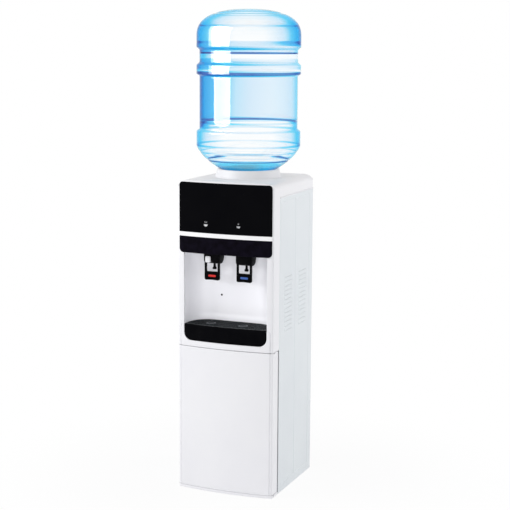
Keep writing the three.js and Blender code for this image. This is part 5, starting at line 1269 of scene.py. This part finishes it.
# %% Collar
collar_low, collar_high = box_of("bottle_collar")
COLLAR_R, COLLAR_FOOT, COLLAR_RIM = collar_high[0], collar_low[2], collar_high[2]
collar = soften([
    (COLLAR_R, COLLAR_FOOT), (COLLAR_R, COLLAR_FOOT + 10.6), (COLLAR_R - 1.5, COLLAR_FOOT + 13),
    (COLLAR_R - 5.5, COLLAR_RIM - 3), (COLLAR_R - 7, COLLAR_RIM), (COLLAR_R - 11.4, COLLAR_RIM),
    (COLLAR_R - 12.4, COLLAR_RIM - 5), (COLLAR_R - 12.4, COLLAR_FOOT),
], (0.01, 0.8, 0.8, 1.5, 1.6, 1.2, 0.8, 0.01), 6, loop=True)
collar_skin = surface("collar_ring", [turned(collar, (0, AXIS_Y), 128)])
place(collar_skin, "housing", "white_moulding", "collar_white", "bottle_collar")

# %% Bottle cap
CAP_WALL, RIB_DEPTH = 1.6, 0.5

cap_low, cap_high = box_of("bottle_cap")
cap_r, cap_bottom, cap_top = cap_high[0], cap_low[2], cap_high[2]
cap_profile = soften([
    (0, cap_bottom), (cap_r - 5, cap_bottom), (cap_r, cap_bottom + 3), (cap_r, cap_top),
    (cap_r - CAP_WALL, cap_top), (cap_r - CAP_WALL, cap_bottom + 2), (0, cap_bottom + 2),
], (0.01, 2, 2, 0.4, 0.4, 0.8, 0.01), 6)
cap_grid = turned(cap_profile, (0, AXIS_Y), 120)
rib = np.arange(cap_grid.shape[1]) % 2 == 0
on_wall = (np.abs(cap_profile[:, 0] - cap_r) < 0.01)[:, None] & rib[None]
away = cap_grid[..., :2] - [0, AXIS_Y]
cap_grid[..., :2] -= np.where(on_wall[..., None], away / cap_r * RIB_DEPTH, 0)
place(surface("bottle_cap_cup", [cap_grid]), "bottle", "white_moulding", "white_moulding", "bottle_cap")

# %% [markdown]
# A small round hole in the collar's rim shows from outside as a dark dot. A short black pin is set in it,
# and its black is painted shade, the dark inside of the hole.

# %% Collar pin
PIN_TURN, PIN_R = math.radians(-101), 1.7
PIN_FACE, PIN_RISE = COLLAR_R - 4.2, 19

outwards = direction(PIN_TURN)
sideways = np.array([-outwards[1], outwards[0]])
pin_profile = soften([(0, 0.5), (PIN_R, 0.5), (PIN_R, -1.5), (0, -1.5)], (0.01, 0.4, 0.3, 0.01), 4)
flat = pin_profile[:, :1, None] * direction(np.linspace(0, 2 * np.pi, 21))[None]
pin_out = (PIN_FACE + pin_profile[:, 1])[:, None, None] * outwards
pin_plan = [0, AXIS_Y] + pin_out + flat[..., :1] * sideways
pin_grid = points(pin_plan[..., 0], pin_plan[..., 1], COLLAR_FOOT + PIN_RISE + flat[..., 1])
place(surface("collar_hole_shade", [pin_grid]), "housing", "black_plastic", "black_plastic")

# %% [markdown]
# ## Taps
# Each tap is a black body under the band, a short nozzle, and a push lever that hangs in front. The
# lever is a frame with a window, and a coloured bar shows hot or cold. A body is a side profile carried
# across its width, with the last rows drawn in so that its edges are round. The mouldings come a few
# millimetres further forward than the plain CAD shapes they stand for.

# %% Tap bodies
FORWARD = 4.0
TAP_EDGE = 2.2

tap_low, tap_high = box_of("hot_tap_body")
front, back, foot, top = tap_low[1] - FORWARD, tap_high[1], tap_low[2], tap_high[2]
tap_half = (tap_high[0] - tap_low[0]) / 2
side_profile = soften([
    (front, top), (front, foot + 9), (front + 1.5, foot + 5), (front + 10, foot),
    (back - 16, foot), (back - 4, foot + 8), (back, foot + 22), (back, top),
], (0.6, 4, 4, 3, 9, 9, 9, 0.6), 7, loop=True)


def body_block(profile, x_middle, half, edge):
    """A profile of (y, z) carried from -half to half across x. Its ends shrink towards the middle by a
    quarter circle of edge, and then close up to a point."""
    centre = profile[:-1].mean(0)
    reach = np.linalg.norm(profile - centre, axis=1).max()
    turns = np.linspace(0, np.pi / 2, 6)
    stops = [(-half, 0.0)]
    stops += [(-half + edge * (1 - np.cos(t)), 1 - edge / reach * (1 - np.sin(t))) for t in turns]
    stops += [(-x, s) for x, s in stops[::-1]]
    return np.stack([points(x_middle + x, *(centre + (profile - centre) * s).T) for x, s in stops])


for side in ("hot", "cold"):
    low, high = box_of(f"{side}_tap_body")
    block = body_block(side_profile, (low[0] + high[0]) / 2, tap_half, TAP_EDGE)
    made = surface(f"{side}_tap_shell", [block])
    place(made, "housing", "black_plastic", "black_plastic", f"{side}_tap_body")

# %% Nozzles
STEM_R, SPOUT_WALL = 3.4, 1.2

stem_top = tap_low[2] + 3
for side in ("hot", "cold"):
    low, high = box_of(f"{side}_nozzle")
    radius, foot, bore = (high[0] - low[0]) / 2, low[2], STEM_R - SPOUT_WALL
    profile = soften([
        (0, foot + 3), (bore, foot + 3), (bore, foot), (radius, foot),
        (radius, foot + 4.5), (STEM_R, foot + 8), (STEM_R, stem_top), (0, stem_top),
    ], (0.01, 0.3, 0.4, 0.8, 1.2, 1.5, 0.2, 0.01), 5)
    nozzle = turned(profile, (low + high)[:2] / 2, 48)
    made = surface(f"{side}_spout", [nozzle])
    place(made, "housing", "black_plastic", "black_plastic", f"{side}_nozzle")

# %% [markdown]
# The lever's frame is one closed loop of faces: its outline outside, the window inside, and rounded
# edges between. Both outlines have the same number of points, so that each row runs from one to the other.

# %% Lever frame
SAG_HEIGHT = 6
FRAME_PARTS = {"across": 26, "up": 22, "arc": 8}


def framed(low, high, radii, hole_low, hole_high, hole_round, front, thickness, edge, sag):
    """A plate with a window. Rows run from the window's edge over the front to the outline, round to the
    back and in again. The lower edge of the outline sags by sag times a cosine."""
    def outline(inset):
        line = ring(low, high, radii, inset, **FRAME_PARTS)
        share = (line[:, 0] - low[0]) / (high[0] - low[0])
        near_foot = np.clip((low[1] + SAG_HEIGHT - line[:, 1]) / SAG_HEIGHT, 0, 1)
        return line + points(0, sag * 0.5 * (1 - np.cos(2 * np.pi * share)) * near_foot)

    def window(grow):
        corners = np.array(hole_low) - grow, np.array(hole_high) + grow
        return ring(*corners, (hole_round, hole_round), 0.0, **FRAME_PARTS)

    turns = np.linspace(0, np.pi / 2, 4)
    rows = [(window(edge * (1 - np.cos(t))), edge * (1 - np.sin(t))) for t in turns]
    rows += [(outline(edge * (1 - np.sin(t))), edge * (1 - np.cos(t))) for t in turns]
    rows += [(outline(0), thickness - edge), (outline(edge), thickness)]
    rows += [(window(edge), thickness), (window(0), thickness - edge), rows[0]]
    return np.stack([points(line[:, 0], front + depth, line[:, 1]) for line, depth in rows])


print("lever frame rows have", len(ring((0, 0), (30, 60), (4, 2), 0, **FRAME_PARTS)), "points")

# %% Levers
WINDOW_HALF = 17.5

for side, look in (("hot", "red_print"), ("cold", "blue_print")):
    low, high = box_of(f"{side}_lever")
    tag_low, tag_high = box_of(f"{side}_label")
    middle = (low[0] + high[0]) / 2
    hole_low, hole_high = (middle - WINDOW_HALF, tag_high[2] + 8.2), (middle + WINDOW_HALF, high[2] - 10)
    lever = framed(
        low[[0, 2]], high[[0, 2]], (4.5, 1.5), hole_low, hole_high, 2.5,
        front=low[1] + 0.3 - FORWARD, thickness=4.2 + FORWARD, edge=0.7, sag=0.9,
    )
    made = surface(f"{side}_lever_frame", [lever])
    place(made, f"{side}_lever", "black_plastic", "lever_black", f"{side}_lever")
    bar_low, bar_high = tag_low[[0, 2]] + [2.2, 1.0], tag_high[[0, 2]] + [0.4, -0.4]
    half_bar = (bar_high[1] - bar_low[1]) / 2
    bar = plate(
        bar_low, bar_high, (half_bar, half_bar), lambda x: tag_low[1] - FORWARD, 0.9, 0.35,
        dome=0.15, across=20, up=2, arc=8,
    )
    place(surface(f"{side}_bar", [bar]), f"{side}_lever", look, look, f"{side}_label")

# %% [markdown]
# The hot tap has a child lock: a small white cap that has to be pressed down first. It has a faint
# grid of dots for grip.

# %% Child lock
DOT_BORDER_X, DOT_BORDER_Z, DOT_ROWS = 3.6, 4, 5

lock_low, lock_high = box_of("child_lock_button")
lock_low[1] -= FORWARD + 1
lock_high -= [2.6, 0, 1.5]
cap_face = plate(
    lock_low[[0, 2]], lock_high[[0, 2]], (3.2, 3.2), lambda x: lock_low[1], 6.0 + FORWARD, 1.0,
    dome=0.3, across=12, up=12,
)
dot = soften([(0, -0.35), (0.45, -0.35), (0.7, 0), (0.7, 0.6), (0, 0.6)], (0.01, 0.2, 0.1, 0.1, 0.01), 3)
dots = [
    turned(dot + [0, lock_low[1] - 0.1], (x, z), 10, axis=1)
    for x in np.linspace(lock_low[0] + DOT_BORDER_X, lock_high[0] - DOT_BORDER_X, DOT_ROWS)
    for z in np.linspace(lock_low[2] + DOT_BORDER_Z, lock_high[2] - DOT_BORDER_Z, DOT_ROWS)
]
lock_cap = surface("child_lock_cap", [cap_face, *dots])
place(lock_cap, "child_lock", "white_moulding", "white_moulding", "child_lock_button")

# %% [markdown]
# ## Metal sides
# Each side is a thin painted sheet. Two shallow fields are pressed into it to make it stiff, and two
# columns of louvres let warm air out. A louvre is a low hood: its lower edge swells out quickly, and from
# there it falls back slowly. A narrow slit under the edge and a small hole at the rear end are open. The
# sheet is one height field over depth and height: its lines lie close together at each pressed edge.

# %% Lines of the side sheets
FIELDS = ((-87.0, 18.0), (26.0, 131.0))
SLOT_SPANS = ((-65.0, -4.0), (48.0, 109.0))
SLOT_FOOT, SLOT_PITCH, SLOTS = 468.5, 12.8, 13
HOOD, HOOD_RISE, HOOD_END = 1.35, 3.0, 2.4
SLIT, HOLE_FOOT, HOLE_SIZE = 0.2, 4.4, 1.2
# Heights of the sheet's rows over a slot's foot
LEVELS = (-SLIT, 0.0, 0.7, 1.4, 2.1, HOOD_RISE, 3.6, HOLE_FOOT, HOLE_FOOT + HOLE_SIZE, 7.0, 9.0)


def lines(low, high, edges, step):
    """Grid lines from low to high: every edge with close neighbours on both sides, and steps between."""
    near = np.concatenate([np.array(edges)[:, None] + d for d in (-2.4, -1.6, -0.8, 0, 0.8, 1.6, 2.4)], None)
    border = np.array([low, low + 0.15, low + 0.9, high - 0.9, high - 0.15, high])
    near = np.concatenate([near, border])
    wide = np.arange(low + step, high, step)
    wide = wide[np.abs(wide[:, None] - near[None]).min(1) > step * 0.3]
    kept = np.unique(np.concatenate([near, wide]).round(3))
    return kept[(kept >= low) & (kept <= high)]


side_low, side_high = box_of("side_panel_right")
side_low[2] = SKIRT_LOW
field_low, field_high = side_low[2] + 24, side_high[2] - 13
slot_feet = SLOT_FOOT + SLOT_PITCH * np.arange(SLOTS)
slot_z = (slot_feet[:, None] + np.array(LEVELS)).ravel()
open_z = lines(side_low[2], side_high[2], [field_low, field_high], 14.0)
open_z = open_z[(open_z < slot_z.min() - 3) | (open_z > slot_z.max() + 3)]
sheet_y = lines(side_low[1], side_high[1], [edge for pair in FIELDS + SLOT_SPANS for edge in pair], 9.0)
grid_y, grid_z = np.meshgrid(sheet_y, np.unique(np.concatenate([slot_z, open_z])))
print("side sheet grid:", grid_y.shape)

# %% Depth of the side sheets
PRESSED, PRESS_ROUND, PRESS_SLOPE = 1.2, 6.0, 1.6
BORDER_TURN, BORDER_REACH = 1.6, 0.9


def beyond(value, low, high, corner):
    """How far a value lies beyond the span from low to high made smaller by corner at both ends."""
    return np.maximum(low + corner - value, value - (high - corner))


sunk = 0
for span in FIELDS:
    out_y, out_z = beyond(grid_y, *span, PRESS_ROUND), beyond(grid_z, field_low, field_high, PRESS_ROUND)
    sunk = sunk + PRESSED * (1 - smooth_step(from_border(out_y, out_z, PRESS_ROUND) / PRESS_SLOPE))
for low_y, high_y in SLOT_SPANS:
    along = np.clip(np.minimum(grid_y - low_y, high_y - grid_y) / HOOD_END, 0, 1)
    for foot in slot_feet:
        up = grid_z - foot
        fall = np.clip((SLOT_PITCH - 1 - up) / (SLOT_PITCH - 1 - HOOD_RISE), 0, 1)
        sunk = sunk - HOOD * (np.clip(up / HOOD_RISE, 0, 1) * fall) * np.sqrt(1 - (1 - along) ** 2)
border = np.minimum.reduce([
    grid_y - side_low[1], side_high[1] - grid_y, grid_z - side_low[2], side_high[2] - grid_z
])
sunk = sunk + BORDER_TURN * np.clip(1 - border / BORDER_REACH, 0, 1) ** 2
print("sheet from", sunk.min().round(2), "to", sunk.max().round(2), "mm under the side")

# %% Slots
def pierced(made, cut):
    """Takes away the faces of a mesh whose centre (x, y, z in millimetres) cut says is inside a slot."""
    shape = bmesh.new()
    shape.from_mesh(made.data)
    centres = np.array([face.calc_center_median() for face in shape.faces]) * 1000
    gone = [face for face, away in zip(shape.faces, cut(centres)) if away]
    bmesh.ops.delete(shape, geom=gone, context="FACES")
    shape.to_mesh(made.data)
    shape.free()
    return len(gone)


def in_slot(centres):
    """Faces of the slits under the hoods, away from their ends, and of the holes at their rear ends."""
    slit, hole = np.zeros((2, len(centres)), bool)
    step = (centres[:, 2] - SLOT_FOOT + SLIT) % SLOT_PITCH - SLIT
    for low_y, high_y in SLOT_SPANS:
        slit |= (centres[:, 1] > low_y + 1.6) & (centres[:, 1] < high_y - 1.6) & (step < 0)
        from_end = high_y - centres[:, 1]
        hole |= (from_end > 0.8) & (from_end < 1.6) & (step > HOLE_FOOT) & (step < HOLE_FOOT + HOLE_SIZE)
    rows = (centres[:, 2] > SLOT_FOOT - SLIT) & (centres[:, 2] < slot_feet.max() + SLOT_PITCH / 2)
    return (slit | hole) & rows


print(SLOTS, "rows of slots in", len(SLOT_SPANS), "columns")

# %% Side sheets
over_slots = np.clip((grid_z - slot_z.max()) / (side_high[2] - slot_z.max()), 0, 1)
for sign, side in ((1, "right"), (-1, "left")):
    sheet = points(sign * (HALF_WIDTH - sunk), grid_y, grid_z + seam_rise(grid_y) * over_slots)
    made = surface(f"side_sheet_{side}", [sheet], outward=(sign, 0, 0), smooth=50)
    print(pierced(made, in_slot), "faces cut for slots")
    place(wall(made, 0.9), "housing", "side_sheet", "side_sheet", f"side_panel_{side}")

# %% [markdown]
# ## CAD parts that keep their shape
# The tanks, the hoses, the fan and the sheet-metal base are right as they are, so they only get their
# finishes. A CAD part arrives with a material named after its slot, and takes the finish of that name.

# %% Finishes for the CAD parts
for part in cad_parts.values():
    slot = part.data.materials[0].name.split(".")[0]
    part.data.materials.clear()
    part.data.materials.append(FINISHES[slot])
print("CAD parts with a finish:", len(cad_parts))
